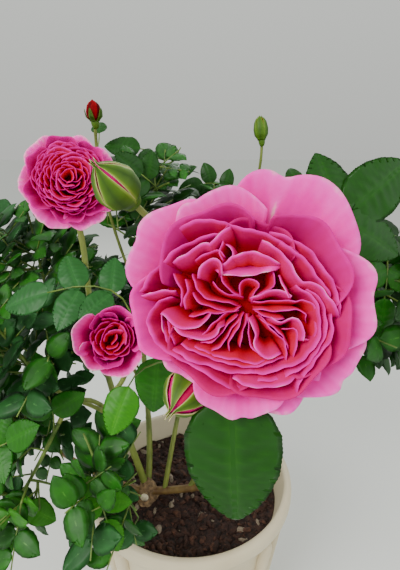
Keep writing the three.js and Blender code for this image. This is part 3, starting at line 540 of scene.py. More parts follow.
def probes_of(leaflet):
    along = leaflet["along"] * leaflet["length"]
    across = leaflet["across"] * leaflet["width"] / 2
    return leaflet["base"] + PROBES[:, :1] * along + PROBES[:, 1:] * across


def make_leaflet(base, direction, face, length, width):
    along = unit(direction)
    across = unit(np.cross(face, along))
    return {"base": base, "along": along, "across": across, "normal": unit(np.cross(along, across)),
            "length": length, "width": width}


def leaf_on(stalk, steps, face, size, pairs):
    tip = drawn_point(stalk, steps, STALK_TIP)
    leaflets = [make_leaflet(tip, tangent_at(stalk, 1), face, size, size * LEAF_SLIMNESS)]
    for order, place in enumerate(pairs):
        tangent = tangent_at(stalk, place)
        aside = unit(np.cross(face, tangent))
        length = size * (SIDE_LEAFLET[0] + SIDE_LEAFLET[1] * (order + 1) / len(pairs))
        base = drawn_point(stalk, steps, place)
        for side in (1, -1):
            way = tangent * SIDE_WAY[0] + aside * side * SIDE_WAY[1]
            leaflets.append(make_leaflet(base, way, face, length, length * LEAF_SLIMNESS))
    return {"stalk": stalk, "steps": steps, "leaflets": leaflets}


def sideways(tangent, turn, outward, onward):
    level = np.cross(tangent, UP)
    if level @ level < 1e-6:
        level = np.array([1.0, 0, 0])
    level = unit(level)
    rise = unit(np.cross(level, tangent))
    return level * math.cos(turn) * outward + rise * math.sin(turn) * outward + tangent * onward


def spray_stem(name):
    """The stem of a spray goes on from its bough's tip, through its heart to its crest."""
    spray = SPRAYS[name]
    before = limbs[spray["bough"]]
    tangent = tangent_at(before["curve"], 1)
    start = point_at(before["curve"], 1) + tangent * GAP
    end = np.array(spray["crest"], float)
    length = np.linalg.norm(end - start)
    curve = [start, start + tangent * length / 3, np.array(spray["heart"], float), end]
    return {"curve": curve, "steps": STEM_STEPS, "radii": (before["radii"][1], STEM_TIP_RADIUS),
            "length": length}


def grow_twig(foot, way, length, name):
    """A twig from the stem, shortened until it is free, or nothing."""
    for share in TWIG_TRIES:
        reach = length * share
        curve = [foot, foot + way * reach / 2 + UP * reach * TWIG_ARCH, foot + way * reach]
        if is_free(np.array([point_at(curve, t) for t in TWIG_CHECKS]), name, TWIG_CLEARANCE):
            return {"curve": curve, "steps": TWIG_STEPS, "radii": TWIG_RADII, "length": reach}
    return None


def grow_leaf(foot, onward, turn, size, pairs, face, at_tip, name, taken):
    """A leaf, turned about its twig and made smaller until most of its leaflets are free, or nothing."""
    for attempt in range(LEAF_ATTEMPTS):
        if at_tip and attempt == 0:
            way = onward
        else:
            way = unit(sideways(onward, turn + attempt * GOLDEN_TURN, *LEAF_WAY) + UP * LEAF_RISE)
        smaller = size * (1 - LEAF_SHRINK * attempt)
        span = smaller * (LEAF_SPAN + SPAN_PER_PAIR * len(pairs))
        stalk = [foot, foot + way * span - UP * span * LEAF_DROOP]
        if not is_free(np.array([point_at(stalk, t) for t in STALK_CHECKS]), name, TWIG_CLEARANCE):
            continue
        leaf = leaf_on(stalk, 1, face, smaller, pairs)
        kept = []
        others = np.concatenate(taken) if taken else np.zeros((0, 3))
        for leaflet in leaf["leaflets"]:
            probes = probes_of(leaflet)
            if not is_free(probes, name, LEAF_CLEARANCE):
                continue
            apart = ((others[:, None] - probes) ** 2).sum(2)
            if (apart > CROWDING ** 2).all():
                kept.append(leaflet)
        leaf["leaflets"] = kept
        if len(kept) >= (LEAFLETS_WANTED if attempt < LEAF_PATIENCE else LEAFLETS_WANTED - 1):
            return leaf
    return None


def facing_way(foot):
    outward = unit(foot - CROWN_HEART)
    return unit(UP * FACE_WEIGHTS[0] + FRONT * FACE_WEIGHTS[1] + outward * FACE_WEIGHTS[2])


def leaves_along(twigs, random, size_range, spacing, name, taken):
    """Compound leaves at even steps along twigs, each turned by the golden turn from the one before."""
    leaves = []
    turn = random() * START_TURN
    for twig in twigs:
        count = max(2, math.floor(twig["length"] * (1 - LEAF_FROM) / spacing + 0.5))
        for i in range(count + 1):
            share = LEAF_FROM + (1 - LEAF_FROM) * i / count
            turn += GOLDEN_TURN
            size = size_range[0] + size_range[1] * random()
            pairs = PAIRS[1 if random() < THREE_PAIR_SHARE else 0]
            foot = drawn_point(twig["curve"], twig["steps"], share)
            onward = tangent_at(twig["curve"], share)
            leaf = grow_leaf(foot, onward, turn, size, pairs, facing_way(foot), i == count, name, taken)
            if leaf:
                taken.extend(probes_of(leaflet) for leaflet in leaf["leaflets"])
                leaves.append(leaf)
                twig["bears"] = True
    return leaves


set_leaves = {name: [] for name in SPACES}
for leaf in SET_LEAVES:
    stem = limbs.get(leaf["of"]) or spray_stem(leaf["of"])
    foot = drawn_point(stem["curve"], stem["steps"], leaf["at"])
    stalk = [foot, *(np.array(p, float) for p in leaf["path"])]
    face = unit(np.array(leaf["face"], float))
    made = leaf_on(stalk, SET_STALK_STEPS, face, leaf["size"], leaf["pairs"])
    set_leaves[leaf["of"]].append({**made, "tint": leaf["tint"]})
set_probes = [probes_of(leaflet) for group in set_leaves.values() for leaf in group
              for leaflet in leaf["leaflets"]]


def grow_spray(name):
    """The source's twigs and leaves, then finer twigs and smaller leaves in the room that is left."""
    spray = SPRAYS[name]
    random = seeded(spray["seed"])
    stem = spray_stem(name)
    twigs = [stem]
    for k in range(spray["twigs"]):
        share = TWIGS_FROM + TWIGS_OVER * (k + random()) / spray["twigs"]
        turn = k * GOLDEN_TURN + random() * TWIG_JITTER
        length = spray["reach"] * (TWIG_SHARE[0] + TWIG_SHARE[1] * random())
        foot = drawn_point(stem["curve"], stem["steps"], share)
        way = unit(sideways(tangent_at(stem["curve"], share), turn, *TWIG_WAY) + UP * TWIG_RISE)
        twig = grow_twig(foot, way, length, name)
        if twig:
            twigs.append(twig)
    taken = list(set_probes)
    leaves = leaves_along(twigs, random, LEAFLET_SIZE, LEAF_SPACING, name, taken)

    for order, growth in enumerate(FINE_GROWTH):
        fine = seeded(spray["seed"] + FINE_SEED_STEP * (order + 1))
        fine_twigs = []
        for k in range(growth["twigs"]):
            twig = twigs[k % len(twigs)]
            share = FINE_FROM + FINE_OVER * fine()
            turn = k * GOLDEN_TURN + fine()
            foot = point_at(twig["curve"], share)
            way = unit(sideways(tangent_at(twig["curve"], share), turn, *TWIG_WAY) + UP * TWIG_RISE)
            length = spray["reach"] * (FINE_SHARE[0] + FINE_SHARE[1] * fine())
            grown = grow_twig(foot, way, length, name)
            if grown:
                fine_twigs.append({**grown, "radii": FINE_RADII})
        leaves += leaves_along(fine_twigs + twigs, fine, growth["leaflet"], growth["spacing"], name, taken)
        twigs = twigs + [twig for twig in fine_twigs if "bears" in twig]
    return twigs, leaves


# Materials

# The sockets of a Mix node that is set to colours
COLOUR_A = 6
COLOUR_B = 7
COLOUR_OUT = 2

MOTTLE_RANGE = (0.32, 0.68)
GRAIN_DEPTH = 0.0004
GLOW_RADIUS = (0.004, 0.001, 0.0015)


def colour(hex_code):
    """A six-figure colour as linear red, green and blue."""
    channels = [int(hex_code[i:i + 2], 16) / 255 for i in (0, 2, 4)]
    return (*[c / 12.92 if c <= 0.04045 else ((c + 0.055) / 1.055) ** 2.4 for c in channels], 1)


def node(tree, kind, **values):
    """A shader node with its inputs and settings."""
    made = tree.nodes.new(kind)
    for key, value in values.items():
        if key in made.inputs:
            made.inputs[key].default_value = value
        else:
            setattr(made, key, value)
    return made


def new_material(name, roughness, gloss):
    """A material, its node tree and its shader."""
    material = bpy.data.materials.new(name)
    material.use_nodes = True
    shader = material.node_tree.nodes["Principled BSDF"]
    shader.inputs["Roughness"].default_value = roughness
    shader.inputs["Specular IOR Level"].default_value = gloss
    return material, material.node_tree, shader


def add_relief(tree, shader, height, strength, depth):
    relief = node(tree, "ShaderNodeBump", Strength=strength, Distance=depth)
    tree.links.new(height, relief.inputs["Height"])
    tree.links.new(relief.outputs["Normal"], shader.inputs["Normal"])


def new_group(name, sockets):
    """A node group with named inputs and outputs, and the nodes at its two ends."""
    group = bpy.data.node_groups.new(name, "ShaderNodeTree")
    for label, side, kind in sockets:
        group.interface.new_socket(label, in_out=side, socket_type="NodeSocket" + kind)
    return group, group.nodes.new("NodeGroupInput"), group.nodes.new("NodeGroupOutput")


def make_mottle():
    """A group that mixes two colours by a soft pattern, and puts out the pattern as a height."""
    group, start, end = new_group("mottle", [
        ("Place", "INPUT", "Vector"), ("Scale", "INPUT", "Float"), ("Dark", "INPUT", "Color"),
        ("Light", "INPUT", "Color"), ("Colour", "OUTPUT", "Color"), ("Height", "OUTPUT", "Float"),
    ])
    noise = node(group, "ShaderNodeTexNoise", Detail=3.0, Roughness=0.6)
    spread = node(group, "ShaderNodeMapRange")
    spread.inputs["From Min"].default_value = MOTTLE_RANGE[0]
    spread.inputs["From Max"].default_value = MOTTLE_RANGE[1]
    mix = node(group, "ShaderNodeMix", data_type="RGBA")
    link = group.links.new
    link(start.outputs["Place"], noise.inputs["Vector"])
    link(start.outputs["Scale"], noise.inputs["Scale"])
    link(noise.outputs["Fac"], spread.inputs["Value"])
    link(spread.outputs["Result"], mix.inputs["Factor"])
    link(start.outputs["Dark"], mix.inputs[COLOUR_A])
    link(start.outputs["Light"], mix.inputs[COLOUR_B])
    link(mix.outputs[COLOUR_OUT], end.inputs["Colour"])
    link(noise.outputs["Fac"], end.inputs["Height"])
    return group


def make_grain():
    """A group that varies a tone by a fine grain, and puts out the grain as a height."""
    group, start, end = new_group("grain", [
        ("Place", "INPUT", "Vector"), ("Scale", "INPUT", "Float"), ("Strength", "INPUT", "Float"),
        ("Tone", "INPUT", "Float"), ("Grained", "OUTPUT", "Float"), ("Height", "OUTPUT", "Float"),
    ])
    noise = node(group, "ShaderNodeTexNoise", Detail=4.0)
    below = node(group, "ShaderNodeMath", operation="MULTIPLY")
    below.inputs[1].default_value = -0.5
    shift = node(group, "ShaderNodeMath", operation="MULTIPLY_ADD")
    total = node(group, "ShaderNodeMath", operation="ADD", use_clamp=True)
    link = group.links.new
    link(start.outputs["Place"], noise.inputs["Vector"])
    link(start.outputs["Scale"], noise.inputs["Scale"])
    link(start.outputs["Strength"], below.inputs[0])
    link(noise.outputs["Fac"], shift.inputs[0])
    link(start.outputs["Strength"], shift.inputs[1])
    link(below.outputs[0], shift.inputs[2])
    link(start.outputs["Tone"], total.inputs[0])
    link(shift.outputs[0], total.inputs[1])
    link(total.outputs[0], end.inputs["Grained"])
    link(noise.outputs["Fac"], end.inputs["Height"])
    return group


mottle = make_mottle()
fine_grain = make_grain()


def finish_material(name, dark, light, scale, roughness, bump=0.0, depth=0.0, gloss=0.5, stretch=None):
    """A mottled surface with its own roughness and relief."""
    material, tree, shader = new_material(name, roughness, gloss)
    source = node(tree, "ShaderNodeTexCoord").outputs["Object"]
    if stretch:
        mapping = node(tree, "ShaderNodeMapping", Scale=stretch)
        tree.links.new(source, mapping.inputs["Vector"])
        source = mapping.outputs["Vector"]
    pattern = node(tree, "ShaderNodeGroup", node_tree=mottle, Scale=scale, Dark=colour(dark),
                   Light=colour(light))
    tree.links.new(source, pattern.inputs["Place"])
    tree.links.new(pattern.outputs["Colour"], shader.inputs["Base Color"])
    if bump:
        add_relief(tree, shader, pattern.outputs["Height"], bump, depth)
    return material


def toned_material(name, ramp, roughness, scale, grain=0.12, bump=0.15, gloss=0.25, subsurface=0.0):
    """A surface coloured by the piece's own tone, 0 in its depths and 1 at its lip, with a fine grain."""
    material, tree, shader = new_material(name, roughness, gloss)
    tone = node(tree, "ShaderNodeAttribute", attribute_name="tone")
    place = node(tree, "ShaderNodeTexCoord")
    pattern = node(tree, "ShaderNodeGroup", node_tree=fine_grain, Scale=scale, Strength=grain)
    colours = node(tree, "ShaderNodeValToRGB")
    stops = colours.color_ramp.elements
    while len(stops) < len(ramp):
        stops.new(0.5)
    for stop, (share, hex_code) in zip(stops, ramp):
        stop.position = share
        stop.color = colour(hex_code)
    tree.links.new(place.outputs["Object"], pattern.inputs["Place"])
    tree.links.new(tone.outputs["Fac"], pattern.inputs["Tone"])
    tree.links.new(pattern.outputs["Grained"], colours.inputs["Fac"])
    tree.links.new(colours.outputs["Color"], shader.inputs["Base Color"])
    add_relief(tree, shader, pattern.outputs["Height"], bump, GRAIN_DEPTH)
    shader.inputs["Subsurface Weight"].default_value = subsurface
    shader.inputs["Subsurface Radius"].default_value = GLOW_RADIUS
    return material


# Each finish: its dark and its light, the scale of its pattern, its roughness, the strength and depth of
# its relief
cream_pot = finish_material("cream_pot", "c9bb9a", "d8ccae", 9, 0.5, 0.08, 0.0004)
potting_mix = finish_material("potting_mix", "120a08", "442a20", 120, 0.95, 1.0, 0.004)
bark_chip = finish_material("bark_chip", "2c1a12", "5c3a2a", 220, 0.9, 0.5, 0.001)
pale_chip = finish_material("pale_chip", "6a5c4c", "948672", 260, 0.85, 0.4, 0.0008)
old_bark = finish_material("old_bark", "4b3826", "9a7d58", 170, 0.85, 0.7, 0.0014)
cut_wood = finish_material("cut_wood", "cdbfa0", "e6dcc2", 300, 0.8, 0.2, 0.0005)
green_cane = finish_material("green_cane", "5c6b28", "8d9a44", 60, 0.5, 0.25, 0.0005, stretch=(1, 1, 0.35))
red_cane = finish_material("red_cane", "5b3a22", "8d7440", 70, 0.55, 0.3, 0.0006, stretch=(1, 1, 0.4))
twig_green = finish_material("twig_green", "3e5e1a", "6f8832", 90, 0.5)

# Each leaf colour: the dark and light of its blade, and its rib. The tints are partly the leaves' own range
# of
# green and partly painted light: the deep one is painted shade on shaded leaves, the bright one painted
# light on lit leaves, and the blue one a painted bluish sheen.
LEAF_TINTS = {
    "leaf_deep_shaded": ("062c00", "144a02", "2e640c"),
    "leaf_mid": ("0e4402", "206806", "468a1a"),
    "leaf_bright_lit": ("1c5c02", "348208", "68a42c"),
    "leaf_blue_sheen": ("0e3e12", "246026", "4c8840"),
}
leaf_blades = [finish_material(name, dark, light, 45, 0.5, 0.25, 0.0006, gloss=0.3)
               for name, (dark, light, _) in LEAF_TINTS.items()]
leaf_ribs = [finish_material(name + "_rib", rib, rib, 60, 0.5) for name, (_, _, rib) in LEAF_TINTS.items()]
leaf_materials = leaf_blades + leaf_ribs
near_materials = []
for name, (dark, light, rib) in LEAF_TINTS.items():
    ramp = [(0.0, dark), (0.45, light), (0.85, rib), (1.0, rib)]
    near_materials.append(toned_material(name + "_near", ramp, 0.45, 120, grain=0.22, bump=0.2))

# The colours of petals and sepals, each with its tone. On the petals the dark low tones are partly painted
# shade deep in the cup, and the palest top tones partly a painted highlight on the lips.
PETAL_RAMP = [(0.0, "540006"), (0.14, "920010"), (0.32, "c20020"), (0.42, "c6003c"), (0.5, "c40058"),
              (0.64, "ca007a"), (0.76, "da0098"), (0.86, "f40cac"), (0.94, "ff50c6"), (1.0, "ffb0cc")]
petal_pink = toned_material("petal_pink", PETAL_RAMP, 0.7, 220, grain=0.06, gloss=0.08, subsurface=0.08)
SEPAL_RAMP = [(0.0, "2c4c08"), (0.5, "4e7212"), (0.8, "849a34"), (1.0, "dcd0a0")]
sepal_green = toned_material("sepal_green", SEPAL_RAMP, 0.55, 260, grain=0.2)


# Meshes

class Heap:
    """Many small shapes that become one piece."""

    def __init__(self, name, materials, kind):
        self.name = name
        self.materials = materials
        self.kind = kind
        self.vertices = []
        self.faces = []
        self.tints = []
        self.tones = []
        self.count = 0

    def add(self, vertices, faces, tint=0, tone=None):
        self.vertices.append(vertices)
        self.faces.extend([i + self.count for i in face] for face in faces)
        self.tints.extend([tint] * len(faces) if isinstance(tint, int) else tint)
        self.tones.append(np.zeros(len(vertices)) if tone is None else np.asarray(tone, float))
        self.count += len(vertices)

    def build(self, replaced=()):
        mesh = bpy.data.meshes.new(self.name)
        mesh.from_pydata(np.concatenate(self.vertices) * MM, [], self.faces)
        for material in self.materials:
            mesh.materials.append(material)
        mesh.polygons.foreach_set("material_index", self.tints)
        mesh.polygons.foreach_set("use_smooth", [True] * len(mesh.polygons))
        tone = mesh.attributes.new("tone", "FLOAT", "POINT")
        tone.data.foreach_set("value", np.concatenate(self.tones))
        mesh.update()
        mesh.validate()
        piece = bpy.data.objects.new(self.name, mesh)
        bpy.context.scene.collection.objects.link(piece)
        settle(piece, self.kind, replaced)


def settle(piece, kind, replaced=()):
    """A finished piece rides on the one body and stands for the nodes it replaces."""
    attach(piece, "root")
    if replaced:
        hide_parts(*replaced)


def frames_along(curve, steps):
    """Square frames at equal steps of a curve, each turned as little as can be from the one before."""
    first = tangent_at(curve, 0)
    start = UP if abs(first[2]) < 0.9 else np.array([1.0, 0, 0])
    normals = [unit(np.cross(start, first))]
    binormals = [np.cross(first, normals[0])]
    for k in range(1, steps + 1):
        tangent = tangent_at(curve, k / steps)
        normals.append(unit(normals[-1] - tangent * (normals[-1] @ tangent)))
        binormals.append(np.cross(tangent, normals[-1]))
    return normals, binormals


def bar(curve, radius_at, sides, steps, lumps=None):
    """A closed round bar along a curve. The radius is given by the share of its length."""
    normals, binormals = frames_along(curve, steps)
    turns = [2 * math.pi * k / sides for k in range(sides)]
    vertices = [point_at(curve, 0)]
    for step in range(steps + 1):
        share = step / steps
        middle = point_at(curve, share)
        for k, turn in enumerate(turns):
            radius = radius_at(share) * (1 + (lumps(share, turn) if lumps else 0))
            vertices.append(middle + normals[step] * math.cos(turn) * radius
                            + binormals[step] * math.sin(turn) * radius)
    vertices.append(point_at(curve, 1))
    faces = [(0, 1 + (k + 1) % sides, 1 + k) for k in range(sides)]
    for step in range(steps):
        low = 1 + step * sides
        for k in range(sides):
            after = (k + 1) % sides
            faces.append((low + k, low + after, low + sides + after, low + sides + k))
    low = 1 + steps * sides
    faces += [(low + k, low + (k + 1) % sides, len(vertices) - 1) for k in range(sides)]
    return np.array(vertices), faces


# The form of a leaflet: its half width along it, and shares of its length for its relief
LEAF_PROFILE = ([0, 0.05, 0.14, 0.28, 0.42, 0.58, 0.74, 0.87, 0.95, 1],
                [0, 0.44, 0.79, 0.98, 1.0, 0.92, 0.72, 0.43, 0.18, 0])
LEAF_ROLL = 64
LEAF_DROOPS = (0.02, 0.09)
LEAF_ARCHES = (0.03, 0.05)
LEAF_TWIST = 0.08
LEAF_THICKNESS = 0.012
LEAF_WAVE = 0.012
GROOVE_DEPTH = 0.018
GROOVE_WIDTH = 0.07
VEIN_DEPTH = 0.006
VEINS = 8
VEIN_SLANT = 0.55
STALK_SIDES = 5
STALK_STEPS = 8

# The tone of a leaflet, and what its rib, its veins, its edge and its underside add
LEAF_TONE = 0.3
RIB_TONE = 0.42
VEIN_TONE = 0.16
EDGE_TONE = 0.1
UNDER_TONE = 0.12


def leaflet_template(stations, columns, teeth_depth):
    """Places on a leaflet: along it, across it as a share of the half width, and on top or below."""
    u = [0.0, 1.0]
    v = [0.0, 0.0]
    top = [1.0, 1.0]
    rows = []
    for k in range(1, stations):
        along = k / stations
        wide = np.interp(along, *LEAF_PROFILE)
        tooth = 1 + teeth_depth * (1 if k % 2 else -1)
        row = []
        for c in columns:
            row.append(len(u))
            edge = abs(c) == 1
            u.append(along + (0.3 * teeth_depth if edge and k % 2 else 0))
            v.append(c * wide * (tooth if edge else 1))
            top.append(1.0)
        row.append(len(u))
        u.append(along)
        v.append(0.0)
        top.append(0.0)
        rows.append(row)
    faces = []
    ribs = []
    last = len(columns) - 1

    def face(corners, rib=False):
        faces.append(corners)
        ribs.append(rib)

    middle = [c for c in range(last) if columns[c] < 0 < columns[c + 1]]
    for c in range(last):
        face((0, rows[0][c], rows[0][c + 1]), c in middle)
        face((1, rows[-1][c + 1], rows[-1][c]), c in middle)
    for row, after in zip(rows, rows[1:]):
        for c in range(last):
            face((row[c], after[c], after[c + 1], row[c + 1]), c in middle)
        under = last + 1
        face((row[last], after[last], after[under], row[under]))
        face((row[under], after[under], after[0], row[0]))
    under = last + 1
    face((0, rows[0][last], rows[0][under]))
    face((0, rows[0][under], rows[0][0]))
    face((1, rows[-1][under], rows[-1][last]))
    face((1, rows[-1][0], rows[-1][under]))
    return np.array(u), np.array(v), np.array(top), faces, np.array(ribs)


# Leaflets for the mass and for the near view: their stations, columns and depth of teeth
PLAIN_STATIONS = 12
PLAIN_COLUMNS = (-1, -0.5, -0.04, 0.04, 0.5, 1)
PLAIN_TEETH = 0.012
PLAIN_LEAFLET = leaflet_template(PLAIN_STATIONS, PLAIN_COLUMNS, PLAIN_TEETH)
FINE_STATIONS = 60
FINE_COLUMNS = (-1, -0.86, -0.66, -0.44, -0.22, -0.035, 0.035, 0.22, 0.44, 0.66, 0.86, 1)
FINE_TEETH = 0.007
FINE_LEAFLET = leaflet_template(FINE_STATIONS, FINE_COLUMNS, FINE_TEETH)


def shape_leaflet(leaflet, template, random):
    """The vertices of a leaflet: arched across, drooping to its tip, with a groove and sunken side veins."""
    u, v, top, faces, ribs = template
    droop = LEAF_DROOPS[0] + LEAF_DROOPS[1] * random()
    arch = LEAF_ARCHES[0] + LEAF_ARCHES[1] * random()
    twist = LEAF_TWIST * (random() - 0.5)
    side = np.abs(v)
    wave = np.cos((u - VEIN_SLANT * side * (1 - 0.3 * side)) * 2 * math.pi * VEINS)
    inner = np.clip(side * 4, 0, 1) * np.clip((1 - side) * 4, 0, 1)
    height = arch * (1 - side ** 1.7) * np.sin(np.pi * np.clip(u, 0, 1)) ** 0.7 + 0.02
    height -= GROOVE_DEPTH * np.exp(-(side / GROOVE_WIDTH) ** 2) * top
    height += VEIN_DEPTH * wave * inner * top
    height -= droop * u ** 2.2
    height += twist * v * u
    height += LEAF_WAVE * np.sin(u * 19 + 2.1 * random() * 3) * side ** 2
    height -= LEAF_THICKNESS * (1 - top)
    height[0] = 0.0
    rib = np.exp(-(side / 0.04) ** 2) * top
    veins = np.clip(wave - 0.55, 0, 1) / 0.45 * np.clip(side * 6, 0, 1) * (1 - side ** 3) * top
    tone = LEAF_TONE + RIB_TONE * rib + VEIN_TONE * veins * (1 - rib)
    tone = tone + EDGE_TONE * side ** 4 + UNDER_TONE * (1 - top)
    points = leaflet["base"] + np.outer(u * leaflet["length"], leaflet["along"])
    points += np.outer(v * leaflet["width"] / 2, leaflet["across"])
    return points + np.outer(height * leaflet["length"], leaflet["normal"]), faces, ribs, tone


def rolled(leaflet, degrees):
    """A leaflet turned about its own length."""
    across, normal = leaflet["across"], leaflet["normal"]
    turn = degrees * DEGREE
    return {**leaflet, "across": across * math.cos(turn) + normal * math.sin(turn),
            "normal": normal * math.cos(turn) - across * math.sin(turn)}


def add_leaf(leaf, blades, stalks, tint, random, template=PLAIN_LEAFLET):
    """A compound leaf with its stalk. A plain one has its ribs in a colour of their own."""
    plain = template is PLAIN_LEAFLET
    for leaflet in leaf["leaflets"]:
        if plain:
            leaflet = rolled(leaflet, LEAF_ROLL * (random() - 0.5))
        points, faces, ribs, tone = shape_leaflet(leaflet, template, random)
        tints = np.where(ribs, tint + len(LEAF_TINTS), tint).tolist() if plain else tint
        blades.add(points, faces, tints, tone)
    curve = leaf["stalk"]
    foot, tip = STALK_RADII
    points, faces = bar(curve, lambda s: foot + (tip - foot) * s, STALK_SIDES,
                        1 if len(curve) == 2 else STALK_STEPS)
    stalks.add(points, faces)


# The pot, the soil and the stock

POT_SEGMENTS = 96
RIB_SEGMENTS = 18
DRAIN_SEGMENTS = 24
POT_EDGE_ANGLE = 40
# The rounded tip of a rib: shares of its radius across and down from its top
RIB_TIP = [(0.92, 0.6), (0.72, 0.28), (0.38, 0.05), (0.1, 0)]

SOIL_SEED = 5
SOIL_EDGE_ANGLE = 60
SOIL_RINGS = 36
SOIL_EDGE = 3
SOIL_CRUMB = 2.2
SOIL_CHIPS = 1500
CHIP_SIZES = (1.5, 5.5)
CHIP_ROUGHNESS = 0.45
CHIP_SHARES = (0.6, 0.94)
STOCK_CLEARANCE = 24

STOCK_SEGMENTS = 40
STOCK_ROWS = 4
STOCK_EDGE_ANGLE = 50
STUB_SIDES = 22
STUB_STEPS = 10


def start_piece(name):
    piece = bpy.context.object
    piece.name = name
    piece.data.name = name
    return piece


def select_only(*pieces):
    """Select some pieces and no others, with the first one active."""
    bpy.ops.object.select_all(action="DESELECT")
    for piece in pieces:
        piece.select_set(True)
    bpy.context.view_layer.objects.active = pieces[0]


def turned(name, profile, segments):
    """A closed turned shape: a filled ring that is drawn out step by step along its profile."""
    bpy.ops.object.select_all(action="DESELECT")
    radius, height = profile[0]
    bpy.ops.mesh.primitive_circle_add(vertices=segments, radius=radius * MM, fill_type="NGON",
                                      location=(0, 0, height * MM))
    piece = start_piece(name)
    bpy.ops.object.mode_set(mode="EDIT")
    bpy.ops.mesh.select_all(action="SELECT")
    for (wide, low), (next_wide, high) in zip(profile, profile[1:]):
        bpy.ops.mesh.extrude_region_move(TRANSFORM_OT_translate={"value": (0, 0, (high - low) * MM)})
        bpy.ops.transform.resize(value=(next_wide / wide, next_wide / wide, 1))
    bpy.ops.mesh.select_all(action="SELECT")
    bpy.ops.mesh.normals_make_consistent(inside=False)
    bpy.ops.object.mode_set(mode="OBJECT")
    bpy.ops.object.transform_apply(location=True, rotation=True, scale=True)
    return piece


def join_pieces(first, others):
    select_only(first, *others)
    bpy.ops.object.join()
    return first


def finish_piece(piece, material, degrees):
    """One material, and smooth shading but over the sharper edges."""
    piece.data.materials.clear()
    piece.data.materials.append(material)
    select_only(piece)
    bpy.ops.object.shade_smooth_by_angle(angle=degrees * DEGREE)


def read_points(mesh):
    points = np.zeros(len(mesh.vertices) * 3)
    mesh.vertices.foreach_get("co", points)
    return points.reshape(-1, 3) / MM


def write_points(mesh, points):
    mesh.vertices.foreach_set("co", (points * MM).ravel())


def turned_about_z(points, turn):
    across = np.array([[math.cos(turn), -math.sin(turn), 0], [math.sin(turn), math.cos(turn), 0], [0, 0, 1]])
    return points @ across.T


def make_pot():
    """The pot, with a rolled rim, a foot, ribs on its wall and drain holes in its floor."""
    slope = (SHOULDER_RADIUS - FOOT_RADIUS) / (RIM_HEIGHT - RIM_BAND)
    under_rim = RIM_HEIGHT - RIM_BAND
    profile = [
        (FOOT_RADIUS - 4, 0), (FOOT_RADIUS - 1.2, 1), (FOOT_RADIUS, 4), (FOOT_RADIUS + slope * 12, 14),
        (SHOULDER_RADIUS - 1, under_rim - 4), (SHOULDER_RADIUS, under_rim),
        (SHOULDER_RADIUS + 3, under_rim + 2), (RIM_RADIUS - 4, under_rim + 4.5),
        (RIM_RADIUS - 1, under_rim + 7), (RIM_RADIUS, under_rim + 11),
        (RIM_RADIUS, RIM_HEIGHT - 9), (RIM_RADIUS - 0.8, RIM_HEIGHT - 4), (RIM_RADIUS - 3, RIM_HEIGHT - 1),
        (RIM_RADIUS - 6, RIM_HEIGHT), (RIM_INNER_RADIUS + 3, RIM_HEIGHT - 0.4),
        (RIM_INNER_RADIUS + 0.8, RIM_HEIGHT - 2), (RIM_INNER_RADIUS, RIM_HEIGHT - 5),
        (RIM_INNER_RADIUS - 3, RIM_HEIGHT - 14), (SHOULDER_RADIUS - WALL, RIM_HEIGHT - RIM_BAND - 8),
        (FOOT_RADIUS - WALL, FLOOR + 2), (FOOT_RADIUS - WALL - 2, FLOOR),
    ]
    pot = turned("pot_body", profile, POT_SEGMENTS)

    height = RIB_TOP - RIB_BOTTOM
    reed = [(RIB_FOOT_RADIUS - 2, 0), (RIB_FOOT_RADIUS, 3), (RIB_RADIUS, height - RIB_RADIUS)]
    reed += [(RIB_RADIUS * wide, height - RIB_RADIUS * down) for wide, down in RIB_TIP]
    rib = turned("pot_rib", reed, RIB_SEGMENTS)
    tilt = math.atan(slope)
    lean = np.array([[math.cos(tilt), 0, math.sin(tilt)], [0, 1, 0], [-math.sin(tilt), 0, math.cos(tilt)]])
    foot = np.array([FOOT_RADIUS + RIB_OUTSET + slope * RIB_BOTTOM, 0, RIB_BOTTOM])
    upright = read_points(rib.data) @ lean.T + foot
    ribs = []
    for k in range(RIBS):
        copy = rib.copy()
        copy.data = rib.data.copy()
        bpy.context.scene.collection.objects.link(copy)
        write_points(copy.data, turned_about_z(upright, (RIB_TURN + k * 360 / RIBS) * DEGREE))
        ribs.append(copy)
    bpy.data.objects.remove(rib)

    drills = []
    for k in range(DRAINS):
        turn = (k + 0.5) * 2 * math.pi / DRAINS
        bpy.ops.mesh.primitive_cylinder_add(
            vertices=DRAIN_SEGMENTS, radius=DRAIN_RADIUS * MM, depth=FLOOR * 3 * MM,
            location=(DRAIN_RING * math.cos(turn) * MM, DRAIN_RING * math.sin(turn) * MM, 0))
        drills.append(start_piece("drain"))
    drill = join_pieces(drills[0], drills[1:])
    cut = pot.modifiers.new("drains", "BOOLEAN")
    cut.object = drill
    cut.operation = "DIFFERENCE"
    select_only(pot)
    bpy.ops.object.modifier_apply(modifier="drains")
    bpy.data.objects.remove(drill)

    pot = join_pieces(pot, ribs)
    finish_piece(pot, cream_pot, POT_EDGE_ANGLE)
    settle(pot, "pot", ["pot"])


def soil_height(x, y):
    """How far the soil lies above or below its mean at a point."""
    swell = np.sin(x * 0.061 + 1) * np.cos(y * 0.073) + 0.5 * np.sin(x * 0.13 - y * 0.11)
    fade = np.clip((np.hypot(x - STOCK_FOOT[0], y - STOCK_FOOT[1]) - 30) / 30, 0, 1)
    return fade * SOIL_SWELL * (swell - 1.5) / 1.5


